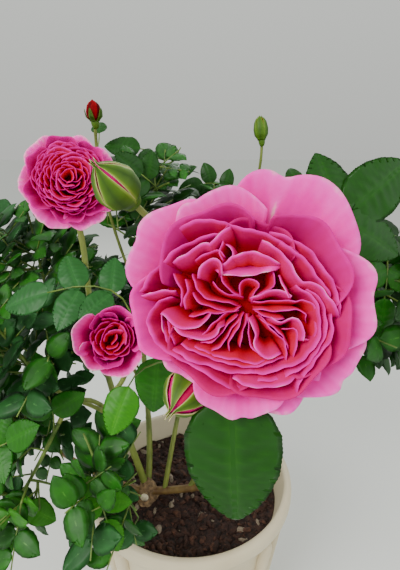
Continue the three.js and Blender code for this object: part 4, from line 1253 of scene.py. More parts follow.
def make_soil():
    """The bed of soil, rough on top, with loose chips on it."""
    slope = (SHOULDER_RADIUS - FOOT_RADIUS) / (RIM_HEIGHT - RIM_BAND - 8 - FLOOR)
    edge_height = SOIL_TOP - SOIL_EDGE
    top_radius = FOOT_RADIUS - WALL + slope * (edge_height - FLOOR) - 0.8
    rings = [(top_radius * (1 - k / SOIL_RINGS) + 0.4, SOIL_TOP) for k in range(1, SOIL_RINGS)]
    profile = [(FOOT_RADIUS - WALL - 3, FLOOR + 0.5), (top_radius, edge_height), *rings]
    soil = turned("soil_bed", profile, POT_SEGMENTS)
    random = seeded(SOIL_SEED)
    points = read_points(soil.data)
    on_top = points[:, 2] > SOIL_TOP - 1
    crumbs = np.array([random() - 0.5 for _ in range(len(points))])
    points[:, 2] += on_top * (soil_height(points[:, 0], points[:, 1]) + SOIL_CRUMB * crumbs)
    write_points(soil.data, points)
    finish_piece(soil, potting_mix, SOIL_EDGE_ANGLE)
    settle(soil, "soil", ["soil"])

    bpy.ops.object.select_all(action="DESELECT")
    bpy.ops.mesh.primitive_ico_sphere_add(subdivisions=1, radius=1)
    pebble = start_piece("chip")
    shape = np.array([v.co for v in pebble.data.vertices])
    faces = [tuple(p.vertices) for p in pebble.data.polygons]
    bpy.data.objects.remove(pebble)
    chips = Heap("soil_chips", [bark_chip, pale_chip, potting_mix], "soil")
    soil_share, bark_share = CHIP_SHARES
    for _ in range(SOIL_CHIPS):
        turn = random() * 2 * math.pi
        radius = top_radius * 0.97 * math.sqrt(random())
        x = radius * math.cos(turn)
        y = radius * math.sin(turn)
        kind = random()
        size = CHIP_SIZES[0] + CHIP_SIZES[1] * random() ** 2.2
        if math.hypot(x - STOCK_FOOT[0], y - STOCK_FOOT[1]) < STOCK_CLEARANCE:
            continue
        stretch = np.array([size * (1 + 0.9 * random()), size * 0.7, size * (0.4 + 0.3 * random())])
        spin = random() * math.pi
        jitter = 1 + CHIP_ROUGHNESS * (np.array([[random() for _ in range(3)] for _ in shape]) - 0.5)
        level = SOIL_TOP + soil_height(x, y) + size * 0.15
        tint = 2 if kind < soil_share else 0 if kind < bark_share else 1
        chips.add(turned_about_z(shape * stretch * jitter, spin) + (x, y, level), faces, tint)
    chips.build()


def make_stock():
    """The stump that the canes leave, with its pruned stub."""
    profile = [(19.5, SOIL_TOP + 0.5)] + [(r, SOIL_TOP + GAP + z) for z, r in STOCK_PROFILE[1:]]
    dense = []
    for (r0, z0), (r1, z1) in zip(profile, profile[1:]):
        dense += [(r0 + (r1 - r0) * k / STOCK_ROWS, z0 + (z1 - z0) * k / STOCK_ROWS)
                  for k in range(STOCK_ROWS)]
    dense += [profile[-1], (3, profile[-1][1] + 1.8)]
    stock = turned("stock_bark", dense, STOCK_SEGMENTS)
    points = read_points(stock.data)
    turn = np.arctan2(points[:, 1], points[:, 0])
    up = points[:, 2] - SOIL_TOP
    lump = 1 + 0.12 * np.sin(3 * turn + up * 0.1)
    lump += 0.05 * np.sin(9 * turn + up * 0.5) + 0.03 * np.sin(17 * turn)
    for axis in (0, 1):
        points[:, axis] = points[:, axis] * lump + STOCK_FOOT[axis] + STOCK_LEAN[axis] * up
    points[:, 2] += 0.7 * np.sin(5 * turn + up * 0.7)
    points[:, 2] = np.maximum(points[:, 2], SOIL_TOP + 0.3)
    write_points(stock.data, points)
    finish_piece(stock, old_bark, STOCK_EDGE_ANGLE)
    settle(stock, "bark", ["stock"])

    stub = Heap("stock_stub", [old_bark, cut_wood], "bark")
    start = np.array(STUB_FROM, float)
    end = np.array(STUB_TO, float)
    points, faces = bar([start, end], lambda s: STUB_RADIUS * (1 + 0.06 * math.sin(9 * s)),
                        STUB_SIDES, STUB_STEPS, lambda s, t: 0.05 * math.sin(5 * t + 3 * s))
    stub.add(points, faces)
    way = unit(end - start)
    points, faces = bar([end - way * 0.5, end + way * 0.4], lambda s: STUB_RADIUS * 0.86, STUB_SIDES, 1)
    stub.add(points, faces, 1)
    stub.build()


# Canes, boughs and foliage

OLD_CANES = {"cane_low", "cane_left"}
# How far apart the nodes of thick and thin limbs lie, and how wide a swelling is
NODE_SPACING = (31, 24)
NODE_WIDTH = 1.7
LIMB_SIDES = 12
START_BACK = 1.5
LIMB_STEP_LENGTH = 3.5
LEAST_LIMB_STEPS = 14
THICK_LIMB = 3
NODE_SWELL = 0.13
TWIG_SIDES = 6
STEM_BAR_STEPS = 16
TWIG_BAR_STEPS = 7
NEAR_LEAF_SEED = 77
TINT_SEED_STEP = 500


def add_limb_bar(heap, name, tint=0):
    """A limb with swellings at its nodes and shallow grooves along its bark."""
    limb = limbs[name]
    curve = list(limb["curve"])
    if limb["on"] is None:
        curve[0] = curve[0] - tangent_at(curve, 0) * START_BACK
    foot, tip = limb["radii"]
    length = sum(np.linalg.norm(b - a) for a, b in zip(curve, curve[1:]))
    spacing = NODE_SPACING[0] if foot > THICK_LIMB else NODE_SPACING[1]

    def lumps(share, turn):
        from_node = (share * length / spacing + 0.5) % 1 - 0.5
        ring = NODE_SWELL * math.exp(-(from_node * spacing / NODE_WIDTH) ** 2)
        return ring + 0.02 * math.sin(5 * turn + 7 * share) + 0.012 * math.sin(11 * turn - 5 * share)

    steps = max(LEAST_LIMB_STEPS, int(length / LIMB_STEP_LENGTH))
    points, faces = bar(curve, lambda s: foot + (tip - foot) * s, LIMB_SIDES, steps, lumps)
    heap.add(points, faces, tint)


def make_limbs():
    heap = Heap("canes", [green_cane, red_cane], "cane")
    for name in LIMBS:
        add_limb_bar(heap, name, tint=1 if name in OLD_CANES else 0)
    heap.build(list(LIMBS))


# The leaf colours of each spray, drawn from in turn; the shaded, lit and sheen tints among them are painted
# light.
SPRAY_TINTS = {
    "spray_left_low": ("leaf_mid", "leaf_deep_shaded", "leaf_blue_sheen"),
    "spray_front": ("leaf_mid", "leaf_blue_sheen", "leaf_mid"),
    "spray_left": ("leaf_mid", "leaf_blue_sheen"),
    "spray_left_high": ("leaf_blue_sheen", "leaf_mid", "leaf_mid"),
    "spray_rear_left": ("leaf_deep_shaded", "leaf_deep_shaded", "leaf_blue_sheen"),
    "spray_crest": ("leaf_deep_shaded", "leaf_mid"),
    "spray_rear": ("leaf_deep_shaded", "leaf_mid"),
    "spray_rear_low": ("leaf_deep_shaded", "leaf_mid"),
    "spray_right": ("leaf_deep_shaded", "leaf_mid", "leaf_blue_sheen"),
    "spray_right_front": ("leaf_mid", "leaf_deep_shaded"),
    "spray_arch": ("leaf_bright_lit", "leaf_mid", "leaf_blue_sheen"),
}
TINT_NAMES = list(LEAF_TINTS)
LEFT_SPRAYS = [
    "spray_left_low", "spray_front", "spray_left", "spray_left_high", "spray_rear_left", "spray_arch",
]
RIGHT_SPRAYS = [name for name in SPRAYS if name not in LEFT_SPRAYS]


def make_foliage():
    """Twigs and leaves of all sprays, and the leaves that show plainly."""
    twig_heap = Heap("twigs", [twig_green], "cane")
    near_leaves = Heap("near_leaves", near_materials, "leaf")
    near_random = seeded(NEAR_LEAF_SEED)
    for piece_name, names in (("leaves_left", LEFT_SPRAYS), ("leaves_right", RIGHT_SPRAYS)):
        blades = Heap(piece_name, leaf_materials, "leaf")
        for name in names:
            twigs, leaves = grow_spray(name)
            random = seeded(SPRAYS[name]["seed"] + TINT_SEED_STEP)
            for twig in twigs:
                foot, tip = twig["radii"]
                curve = list(twig["curve"])
                is_stem = len(curve) == 4
                if is_stem:
                    curve[0] = curve[0] - tangent_at(curve, 0) * START_BACK
                steps = STEM_BAR_STEPS if is_stem else TWIG_BAR_STEPS
                points, faces = bar(curve, lambda s: foot + (tip - foot) * s, TWIG_SIDES, steps)
                twig_heap.add(points, faces)
            tints = SPRAY_TINTS[name]
            for leaf in leaves:
                tint = TINT_NAMES.index(tints[int(random() * len(tints))])
                add_leaf(leaf, blades, twig_heap, tint, random)
        blades.build(names)
    for group in set_leaves.values():
        for leaf in group:
            add_leaf(leaf, near_leaves, twig_heap, TINT_NAMES.index(leaf["tint"]), near_random, FINE_LEAFLET)
    near_leaves.build()
    twig_heap.build()


# Petals

# The pale streak on the top petal of the main bloom, and the notch in the lip of some outer petals
STREAK = 0.3
STREAK_ACROSS = 0.42
LIP_NOTCH = 0.05
NOTCH_WIDTH = 0.13
LIP_FALL = 0.19
LIP_RIPPLE = 0.022
LIP_ROLL = 3.2
PETAL_FOOT = 3
CREASE = 1.2
CREASE_WIDTH = 0.12
STREAK_WIDTH = 0.05
GUARD_THICKNESS = 0.8
LIP_THICKNESS = 0.6
SEPAL_THICKNESS = 0.7
SEPAL_PHASE = 0.3
SEPAL_TIP_TONE = 0.12
SEPAL_RIB_TONE = 0.14
SEPAL_RIB_WIDTH = 0.18

# Divisions of each sheet across and along it, and the sides of the turned parts
GUARD_MESH = (30, 20)
LIP_MESH = (12, 9)
LIP_MESH_DENSITY = 0.8
SEPAL_MESH = (8, 16)
BUD_PETAL_MESH = (16, 14)
CORE_SIDES = 32
SHELL_SIDES = 30
HIP_SIDES = 20


def soft_rise(low, high, value):
    """0 up to low, 1 from high on, and a soft rise between them."""
    share = np.clip((value - low) / (high - low), 0, 1)
    return share * share * (3 - 2 * share)


def add_sheet(heap, surface, tone, across, along, thickness, flower):
    """A thin closed sheet on a surface of s along it, from 0 to 1, and t across it, from -1 to 1."""
    s, t = np.meshgrid(np.linspace(0, 1, along + 1), np.linspace(-1, 1, across + 1), indexing="ij")
    middle = surface(s, t)
    over_s = np.gradient(middle, axis=0)
    over_t = np.gradient(middle, axis=1)
    normal = np.cross(over_t, over_s)
    normal /= np.linalg.norm(normal, axis=2, keepdims=True) + 1e-9
    half = thickness / 2 * (1 - 0.5 * s[..., None] ** 4)
    front = (middle + normal * half).reshape(-1, 3)
    back = (middle - normal * half).reshape(-1, 3)
    grid = np.arange((along + 1) * (across + 1)).reshape(along + 1, across + 1)
    a, b, c, d = grid[:-1, :-1].ravel(), grid[:-1, 1:].ravel(), grid[1:, 1:].ravel(), grid[1:, :-1].ravel()
    size = grid.size
    faces = np.concatenate([np.stack([a, b, c, d], 1), np.stack([d, c, b, a], 1) + size])
    rim = np.concatenate([grid[0, :-1], grid[:-1, -1], grid[-1, :0:-1], grid[:0:-1, 0]])
    after = np.roll(rim, -1)
    faces = np.concatenate([faces, np.stack([rim, rim + size, after + size, after], 1)])
    values = tone(s, t).ravel()
    points = placed(np.concatenate([front, back]), flower)
    heap.add(points, faces.tolist(), 0, np.concatenate([values, values]))


def add_turned(heap, outline, sides, tone, flower):
    """A closed turned shape in a flower's frame."""
    vertices = []
    tones = []
    for radius, height in outline:
        for k in range(sides):
            turn = 2 * math.pi * k / sides
            vertices.append((radius * math.cos(turn), radius * math.sin(turn), height))
            tones.append(tone(height))
    faces = []
    for row in range(len(outline) - 1):
        for k in range(sides):
            a = row * sides + k
            b = row * sides + (k + 1) % sides
            faces.append((a, b, b + sides, a + sides))
    faces.append(tuple(range(sides - 1, -1, -1)))
    low = (len(outline) - 1) * sides
    faces.append(tuple(low + k for k in range(sides)))
    heap.add(placed(np.array(vertices), flower), faces, 0, tones)


def polar(radius, turn, z):
    return np.stack([radius * np.cos(turn), radius * np.sin(turn), z], -1)


def add_guard_petal(heap, flower, depth, petal, random, ruffle, tones, streak=0.0):
    """An outer petal, widening to a rounded, rolled and slightly waved lip."""
    turn, spread, reach, lift, opened = petal[:5]
    first, second, third = (random() * 6.28 for _ in range(3))
    notch = LIP_NOTCH * random() * (opened > 0.65)
    notch_place = 0.8 * (random() - 0.5)

    def surface(s, t):
        share = PETAL_START + (1 - PETAL_START) * s
        wide = spread * (0.5 + 0.5 * np.sin(share * np.pi / 2)) * (1 - 0.05 * s ** 8)
        lip = reach * (1 - LIP_FALL * np.abs(t) ** 2.6 + LIP_RIPPLE * ruffle * np.sin(7 * t + first))
        lip = lip - notch * reach * np.exp(-((t - notch_place) / NOTCH_WIDTH) ** 2) * s ** 4
        radius = PETAL_FOOT + (lip - PETAL_FOOT) * share ** (0.62 + 0.55 * opened)
        z = -depth + (depth + lift) * share ** (1.5 - 0.75 * opened)
        z = z + ruffle * s ** 2 * (1.5 * np.sin(4.3 * t + second) + 0.6 * np.sin(9 * t + third))
        z = z - LIP_ROLL * opened * s ** 7
        z = z + CREASE * s * np.exp(-(t / CREASE_WIDTH) ** 2) * opened
        return polar(radius, (turn + wide * t) * DEGREE, z)

    # Painted shade: darker at the foot, toward the overlapping sides and on the less open inner petals. The
    # lighter lip is partly the petal's own paler edge and partly a painted highlight.
    def tone(s, t):
        low, high = tones
        base = low + (high - low) * soft_rise(0.3, 0.95, s) + 0.8 * min(opened - 0.8, 0)
        streaks = 0.016 * np.sin(61 * t + 5 * s + first) * s + 0.012 * np.sin(103 * t - 3 * s) * s
        along = soft_rise(0.2, 0.4, s) * (1 - soft_rise(0.55, 0.85, s))
        streaks += streak * np.exp(-((t - STREAK_ACROSS) / STREAK_WIDTH) ** 2) * along
        return base + streaks + 0.05 * soft_rise(0.93, 1, s) - 0.04 * np.abs(t) ** 3

    add_sheet(heap, surface, tone, *GUARD_MESH, GUARD_THICKNESS, flower)


def through(points, t):
    """Places on a smooth line through points, for t from -1 at its start to 1 at its end."""
    points = np.array(points, float)
    ends = np.concatenate([[2 * points[0] - points[1]], points, [2 * points[-1] - points[-2]]])
    place = (t + 1) / 2 * (len(points) - 1)
    k = np.clip(place.astype(int), 0, len(points) - 2)
    u = (place - k)[..., None]
    a, b, c, d = ends[k], ends[k + 1], ends[k + 2], ends[k + 3]
    run = 2 * b + (c - a) * u
    return (run + (2 * a - 5 * b + 4 * c - d) * u ** 2 + (3 * b - a - 3 * c + d) * u ** 3) / 2


# How petals of each kind stand: how far the foot draws in toward the eye, their depth, how far the lip
# stands forward, its ruffle and curl, and the tones of the foot, the face and the lip
# The low foot tones, lowest on the folds deep in the cup, are painted shade; the lip tones are partly a
# painted highlight.
PETAL_KINDS = {
    "wide": {
        "lean": 0.34, "drop": 24, "forward": 1.0, "ruffle": 0.35, "curl": 1.2, "tones": (0.24, 0.5, 0.84),
    },
    "pale": {
        "lean": 0.2, "drop": 15, "forward": 2.2, "ruffle": 0.3, "curl": 2.2, "tones": (0.24, 0.54, 0.94),
    },
    "curled": {
        "lean": -0.7, "drop": 9, "forward": 1.6, "ruffle": 0.2, "curl": 0.4, "tones": (0.6, 0.88, 0.96),
    },
    "fold": {
        "lean": 0.18, "drop": 13, "forward": 0.0, "ruffle": 0.4, "curl": 1.1, "tones": (0.18, 0.42, 0.84),
    },
}


def add_lip_petal(heap, flower, kind, points, random, height_at, deeper=0.0):
    """A petal that stands up from the heart of a flower, with its lip on a line as seen from in front."""
    look = PETAL_KINDS[kind]
    first, second, third = (random() * 6.28 for _ in range(3))
    taller = 1.6 * (random() - 0.5)
    low, mid, high = look["tones"]
    middle = through(points, np.array([0.0, 0.01]))
    run = middle[1] - middle[0]
    outward = 1 if middle[0] @ np.array([run[1], -run[0]]) > 0 else -1
    long = sum(math.dist(p, q) for p, q in zip(points, points[1:]))

    def surface(s, t):
        line = through(points, t)
        ahead = through(points, np.clip(t + 0.02, -1, 1)) - through(points, np.clip(t - 0.02, -1, 1))
        ahead /= np.linalg.norm(ahead, axis=-1, keepdims=True) + 1e-9
        aside = np.stack([ahead[..., 1], -ahead[..., 0]], -1) * outward
        way = t * long / 2
        wave = np.sin(way * 0.4 + first) + 0.5 * np.sin(way * 0.95 + second)
        push = look["ruffle"] * wave * s ** 1.4 + look["curl"] * s ** 5 - 1.2 * (1 - s)
        spot = line * (1 - look["lean"] * (1 - s) ** 1.15)[..., None] + aside * push[..., None]
        top = height_at(np.hypot(line[..., 0], line[..., 1])) + look["forward"] + taller
        top = top + 0.7 * np.sin(way * 0.45 + third) - 3.0 * np.abs(t) ** 7
        z = top - look["drop"] * (1 - s) - 0.5 * look["curl"] * s ** 8
        return np.concatenate([spot, z[..., None]], -1)

    # Painted shade: darker toward the foot, deep in the cup. The lighter lip is partly the petal's own paler
    # edge and partly a painted highlight.
    def tone(s, t):
        body = low + (mid - low) * soft_rise(0.1, 0.85, s) - deeper
        return body + (high - mid) * soft_rise(0.94, 1, s) + 0.04 * np.sin(9 * t + second) * s

    across = max(LIP_MESH[0], int(long * LIP_MESH_DENSITY))
    add_sheet(heap, surface, tone, across, LIP_MESH[1], LIP_THICKNESS, flower)


# The petals inside the cup of the main bloom: what each is like, and the line of its lip, from in front
CUP_PETALS = [
    ("wide", [(-37, 31), (-29, 36), (-17, 38), (-7, 35), (4, 33), (16, 28), (24, 23)]),
    ("wide", [(-51, 2), (-47, 9), (-40, 17), (-31, 25), (-19, 30), (-9, 32)]),
    ("wide", [(10, 33), (24, 28), (35, 17), (42, 4), (43, -6)]),
    ("wide", [(12, 29), (23, 23), (32, 13), (39, 3)]),
    ("pale", [(-35, 16), (-28, 20), (-22, 25), (-17, 25), (-13, 30), (-7, 34)]),
    ("pale", [(6, 28), (13, 24), (19, 17), (25, 9), (33, 7), (38, 1), (42, -6)]),
    ("pale", [(-51, -1), (-45, 0), (-39, 2), (-34, 2)]),
    ("wide", [(-35, 0), (-43, -4), (-46, -12), (-43, -19), (-35, -26), (-23, -31), (-9, -39), (1, -41)]),
    ("wide", [(39, -4), (40, -11), (37, -19), (32, -26), (27, -34), (24, -42)]),
    ("wide", [(27, 8), (35, 0), (37, -10), (34, -20), (28, -28), (20, -33), (10, -36), (0, -36)]),
    ("wide", [(23, 8), (31, 2), (34, -7), (33, -17), (28, -24), (20, -29), (10, -32), (0, -33)]),
    ("pale", [(-4, -35), (2, -37), (10, -38), (18, -36), (25, -32)]),
    ("wide", [(-34, -24), (-25, -28), (-14, -31), (-2, -33), (8, -32)]),
    ("pale", [(-40, -18), (-42, -12), (-41, -6), (-37, -7), (-32, -11), (-25, -12), (-21, -10), (-18, -5)]),
    ("pale", [(-33, -11), (-29, -15), (-22, -17), (-16, -16), (-13, -12), (-10, -10)]),
    ("curled", [(-12, 12), (-4, 12), (3, 12), (9, 14), (14, 15)]),
    ("pale", [(-8, 18), (-2, 21), (2, 22), (8, 20), (16, 17)]),
    ("pale", [(-9, 29), (-6, 26), (-5, 21), (-8, 17), (-12, 14)]),
    ("pale", [(-21, 10), (-20, 15), (-17, 18), (-14, 17), (-14, 12)]),
    ("fold", [(-35, 13), (-31, 6), (-30, 0), (-30, -4)]),
    ("fold", [(-29, 10), (-27, 5), (-28, 0), (-28, -5)]),
    ("fold", [(-25, 13), (-23, 6), (-18, 2), (-10, 0), (-3, -1)]),
    ("fold", [(-25, 5), (-22, 0), (-15, -3), (-7, -4), (-2, -2)]),
    ("fold", [(-27, -7), (-22, -7), (-18, -5), (-11, -5), (-3, -4)]),
    ("fold", [(-17, 8), (-12, 4), (-6, 2), (-1, 1)]),
    ("fold", [(-12, 15), (-10, 10), (-6, 5), (-1, 3)]),
    ("fold", [(-2, 2), (-2, 7), (1, 10), (6, 8), (3, 4), (2, 0)]),
    ("pale", [(3, 0), (8, 2), (15, 4), (22, 2), (20, 8), (17, 14)]),
    ("fold", [(3, 1), (6, 5), (12, 8), (13, 12), (11, 15)]),
    ("fold", [(3, -1), (12, 0), (22, 0), (28, 1), (32, -3), (33, -10), (31, -17)]),
    ("fold", [(4, -3), (13, -3), (22, -2), (29, -4), (30, -9)]),
    ("pale", [(11, -8), (17, -11), (23, -9), (26, -13), (26, -18), (30, -19)]),
    ("fold", [(18, -13), (23, -13), (24, -19), (23, -26)]),
    ("fold", [(5, -4), (12, -6), (19, -7)]),
    ("fold", [(-1, -5), (-4, -12), (-7, -18), (-8, -24)]),
    ("fold", [(0, -6), (-1, -14), (-3, -22)]),
    ("fold", [(2, -6), (3, -14), (5, -21), (10, -26)]),
    ("pale", [(4, -7), (7, -14), (7, -20), (12, -24), (17, -22)]),
    ("fold", [(6, -7), (12, -13), (17, -17), (19, -22), (20, -28)]),
    ("fold", [(-4, -6), (-10, -13), (-16, -19), (-21, -20)]),
    ("fold", [(-2, -6), (-7, -14), (-12, -21), (-17, -25)]),
    ("fold", [(-7, -6), (-14, -11), (-19, -18), (-27, -20)]),
    ("fold", [(8, -7), (15, -12), (20, -16), (22, -22)]),
    ("fold", [(-30, -21), (-21, -25), (-10, -28), (0, -30), (11, -28), (19, -24)]),
    ("fold", [(-24, -22), (-15, -25), (-4, -27), (5, -28), (13, -26)]),
    ("fold", [(-37, -8), (-35, -15), (-33, -23)]),
    ("fold", [(-39, -9), (-38, -16), (-35, -22)]),
    ("fold", [(-11, 29), (-12, 24), (-10, 19)]),
    ("fold", [(-25, 18), (-19, 22), (-14, 23), (-11, 20)]),
]

# Each bloom: its seed, the tones of its outer petals, the further outer petals, and for the round ones how
# many petals fill them and how high they dome
BLOOM_LOOKS = {
    "bloom_main": {
        "seed": 301, "guard_tones": (0.68, 0.91),
        "extra": [
            [-58, 42, 49, -3, 0.45], [-118, 44, 46, -3, 0.45], [-20, 36, 51, -3, 0.5],
            [82, 40, 40, -5, 0.5],
        ],
    },
    "bloom_second": {
        "seed": 302, "guard_tones": (0.7, 0.94), "petals": 96, "dome": 7,
        "extra": [
            [0, 30, 42, -5, 0.6], [48, 30, 40, -5, 0.6], [100, 30, 41, -5, 0.6], [150, 30, 40, -5, 0.6],
            [205, 30, 42, -6, 0.6], [262, 30, 41, -6, 0.6], [312, 30, 40, -5, 0.6],
        ],
    },
    "bloom_half": {
        "seed": 303, "guard_tones": (0.94, 1.18), "petals": 22, "dome": 1,
        "extra": [[110, 40, 22, 3, 0.35], [-100, 40, 22, 2, 0.35]],
    },
}
# The further outer petals, which lie inside the outer ring, are deeper in tone at their foot and at their
# lip:
# painted shade
EXTRA_PAINTED_SHADE = (0.14, 0.08)
GUARD_RUFFLE = 1.0
EXTRA_RUFFLE = 1.2

# The petals of the round blooms: how much deeper in tone they are, how many are pale, and from which share
# of the reach on they are wide
ROUND_DEEPER = 0.08
PALE_SHARE = 0.15
WIDE_FROM = 0.75

# The core that the petals stand on: its tones outside and on the floor of the cup, where the dark tone is
# painted shade between the petals
CORE_TONES = (0.8, 0.14)
HIP_TONE = 0.3
BLOOM_SEPAL_TONES = (0.3, 0.75)


def cup_height(radius):
    """The lips of the main bloom lie lowest about its eye."""
    return -11 + 7 * soft_rise(2, 20, radius)


def add_round_petals(heap, flower, count, reach, dome, random):
    """Short ruffled petals, dealt out by the golden turn over a low dome."""
    for k in range(count):
        radius = reach * math.sqrt((k + 0.6) / count)
        turn = k * GOLDEN_TURN
        slant = turn + math.pi / 2 + 1.5 * (random() - 0.5) * (1.2 - radius / reach)
        half = 3.5 + 3.5 * random() + 0.12 * radius
        ahead = np.array([math.cos(slant), math.sin(slant)])
        out = np.array([math.cos(turn), math.sin(turn)])
        bow = 0.3 + 0.3 * random()
        points = [out * (radius - bow * half * x * x) + ahead * half * x for x in (-1, -0.55, 0, 0.55, 1)]
        kind = "pale" if random() < PALE_SHARE else "wide" if radius > WIDE_FROM * reach else "fold"
        add_lip_petal(heap, flower, kind, points, random,
                      lambda r: dome - (dome + 6) * (r / reach) ** 2, ROUND_DEEPER)


def add_sepals(heap, flower, radius_at, z_at, half_at, tints):
    """Narrow green leaves about a flower. Their place and width follow the share of their length."""
    for k in range(SEPALS):
        middle = 2 * math.pi * k / SEPALS + SEPAL_PHASE

        def surface(s, t):
            turn = middle + t * half_at(s) * DEGREE
            return polar(radius_at(s) * (1 - 0.02 * t * t), turn, z_at(s))

        def tone(s, t):
            edge = (tints[1] - tints[0]) * np.abs(t) ** 2.5
            rib = np.exp(-(t / SEPAL_RIB_WIDTH) ** 2)
            return tints[0] + edge + SEPAL_TIP_TONE * s - SEPAL_RIB_TONE * rib

        add_sheet(heap, surface, tone, *SEPAL_MESH, SEPAL_THICKNESS, flower)


def make_bloom(name):
    """A bloom: outer petals about a cup of inner ones, on a hip with its sepals and its stalk."""
    bloom, rosette, look = BLOOMS[name], ROSETTES[name], BLOOM_LOOKS[name]
    flower = flower_frame(bloom["eye"], bloom["facing"])
    depth, reach, floor = bloom["depth"], rosette["reach"], rosette["floor"]
    random = seeded(look["seed"])
    petals = Heap(name + "_petals", [petal_pink], "blossom")
    core = [(2, -depth - 1), (HIP_RADIUS - 1, -depth), (reach * 0.5, -depth + 12), (reach * 0.96, floor - 6),
            (reach * 0.92, floor), (reach * 0.4, floor - 2), (1, floor - 3)]
    # The floor of the cup takes the dark tone, painted shade between the petals.
    add_turned(petals, core, CORE_SIDES, lambda z: CORE_TONES[0] if z < floor - 7 else CORE_TONES[1], flower)
    for order, petal in enumerate(GUARD_PETALS[name]):
        streak = STREAK if name == "bloom_main" and order == 0 else 0
        add_guard_petal(petals, flower, depth, petal, random, GUARD_RUFFLE, look["guard_tones"], streak)
    low, high = look["guard_tones"]
    # The further outer petals take darker tones, painted shade inside the outer ring.
    shaded_tones = (low - EXTRA_PAINTED_SHADE[0], high - EXTRA_PAINTED_SHADE[1])
    for petal in look["extra"]:
        add_guard_petal(petals, flower, depth, petal, random, EXTRA_RUFFLE, shaded_tones)
    if name == "bloom_main":
        for kind, points in CUP_PETALS:
            add_lip_petal(petals, flower, kind, points, random, cup_height)
    else:
        add_round_petals(petals, flower, look["petals"], reach, look["dome"], random)
    petals.build([name])

    green = Heap(name + "_calyx", [sepal_green, green_cane], "bud")
    hip_outline = [
        (1.5, -depth - 14), (3.6, -depth - 13), (HIP_RADIUS - 0.6, -depth - 9), (HIP_RADIUS, -depth - 5),
        (HIP_RADIUS - 1, -depth - 1), (HIP_RADIUS - 0.5, -depth + 1), (3, -depth + 1.5),
    ]
    add_turned(green, hip_outline, HIP_SIDES, lambda z: HIP_TONE, flower)
    long = 20 + depth * 0.2
    add_sepals(green, flower, lambda s: 5.5 + long * s ** 0.8, lambda s: -depth - 1 + 4 * s - 9 * s ** 2,
               lambda s: 30 * (1 - s) ** 0.8 / (1 + 2.4 * s) + 1, BLOOM_SEPAL_TONES)
    add_limb_bar(green, name, tint=1)
    green.build()


# Each bud: the half width of its sepals in degrees, how they taper, their length as a share of the bud's,
# the tones of its petals and sepals, and whether its tip is round
BUD_LOOKS = {
    "bud_upper": {
        "half": 38, "taper": 0.24, "length": 1.14, "petal": (0.4, 0.8), "sepal": (0.1, 0.86), "round": 0,
    },
    "bud_lower": {
        "half": 34, "taper": 0.45, "length": 1.2, "petal": (0.48, 0.7), "sepal": (0.2, 0.88), "round": 0,
    },
    "bud_red": {
        "half": 24, "taper": 0.8, "length": 0.6, "petal": (0.0, 0.18), "sepal": (0.0, 0.3), "round": 1,
    },
    "bud_green": {
        "half": 40, "taper": 0.2, "length": 1.04, "petal": (0.2, 0.4), "sepal": (0.2, 0.6), "round": 1,
    },
}
BUD_PETALS = 5


def make_bud(name):
    """A bud: wound petals inside its sepals, on a hip with its stalk."""
    bud, look = BUDS[name], BUD_LOOKS[name]
    base = np.array(bud["base"], float)
    facing = np.array(bud["tip"], float) - base
    length = np.linalg.norm(facing)
    flower = flower_frame(base, facing)
    wide = bud["width"] / 2
    heights = [-6, -3, 1, length * 0.22, length * 0.48, length * 0.76, length * 0.93, length]
    full = look["round"] * wide
    radii = [2.4, wide * 0.5, wide * 0.5, wide * 0.88 + 0.06 * full, wide * 0.94 + 0.08 * full,
             wide * 0.62 + 0.22 * full, wide * 0.25 + 0.24 * full, 0.5]
    low, high = look["petal"]
    petals = Heap(name + "_petals", [petal_pink], "bud")
    shell = [(np.interp(z, heights, radii) - 0.6, z) for z in np.linspace(0.5, length * 0.9, 14)]
    add_turned(petals, shell, SHELL_SIDES, lambda z: low, flower)
    for k in range(BUD_PETALS):
        turn = k * GOLDEN_TURN

        def surface(s, t):
            z = length * (0.15 + (0.85 + 0.03 * (k % 2)) * s)
            radius = np.interp(z, heights, radii) - 1.4 + 0.25 * k % 0.7 + 0.5 * t
            return polar(np.maximum(radius, 0.5), turn + t * (1.15 - 0.35 * s) + 0.9 * s, z)

        def tone(s, t):
            return low + (high - low) * (0.5 * s + 0.5 * np.abs(t) ** 3)

        add_sheet(petals, surface, tone, *BUD_PETAL_MESH, LIP_THICKNESS, flower)
    petals.build()

    green = Heap(name + "_sepals", [sepal_green, green_cane], "bud")
    hip_outline = [
        (1.6, -7), (2.6, -6.5), (wide * 0.45, -4), (wide * 0.52, -1), (wide * 0.48, 1.5), (wide * 0.3, 2),
    ]
    add_turned(green, hip_outline, HIP_SIDES, lambda z: HIP_TONE, flower)
    reach = look["length"] * length
    add_sepals(green, flower, lambda s: np.interp(s * reach, heights, radii) + 0.7 + 0.8 * s ** 6,
               lambda s: 0.5 + s * reach, lambda s: look["half"] * (1 - s) ** look["taper"] + 1.5,
               look["sepal"])
    add_limb_bar(green, name, tint=1)
    green.build([name])


make_pot()
make_soil()
make_stock()
make_limbs()
make_foliage()
for name in BLOOMS:
    make_bloom(name)
for name in BUDS:
    make_bud(name)


# The floor, the light and the camera

# Lights, in metres and watts: each with its place, size, power and tint
LIGHT_AIM = (0, 0, 0.5)
LIGHTS = {
    "window": ((-1.6, -1.9, 2.2), 1.6, 84, (1.0, 0.985, 0.96)),
    "fill": ((1.9, -1.2, 1.5), 2.4, 22, (0.95, 0.98, 1.0)),
    "back": ((0.4, 2.2, 2.0), 2.0, 20, (1.0, 1.0, 1.0)),
}
SKY_STRENGTH = 0.86
SKY_LOW = "dadcd7"
SKY_HIGH = "f6f9f4"
SKY_HEIGHT = 0.5
GROUND_COLOUR = "dadcd8"
GROUND_SIZE = 200

# The camera, from the photograph: its place in metres, its pitch, and its focal length in pixels
CAMERA_PLACE = (0.014, -0.5, 0.731)
CAMERA_PITCH = 72
FOCAL_PIXELS = 401
PHOTO_HEIGHT = 570
SENSOR_WIDTH = 36
CLIP_NEAR = 0.02
CLIP_FAR = 60


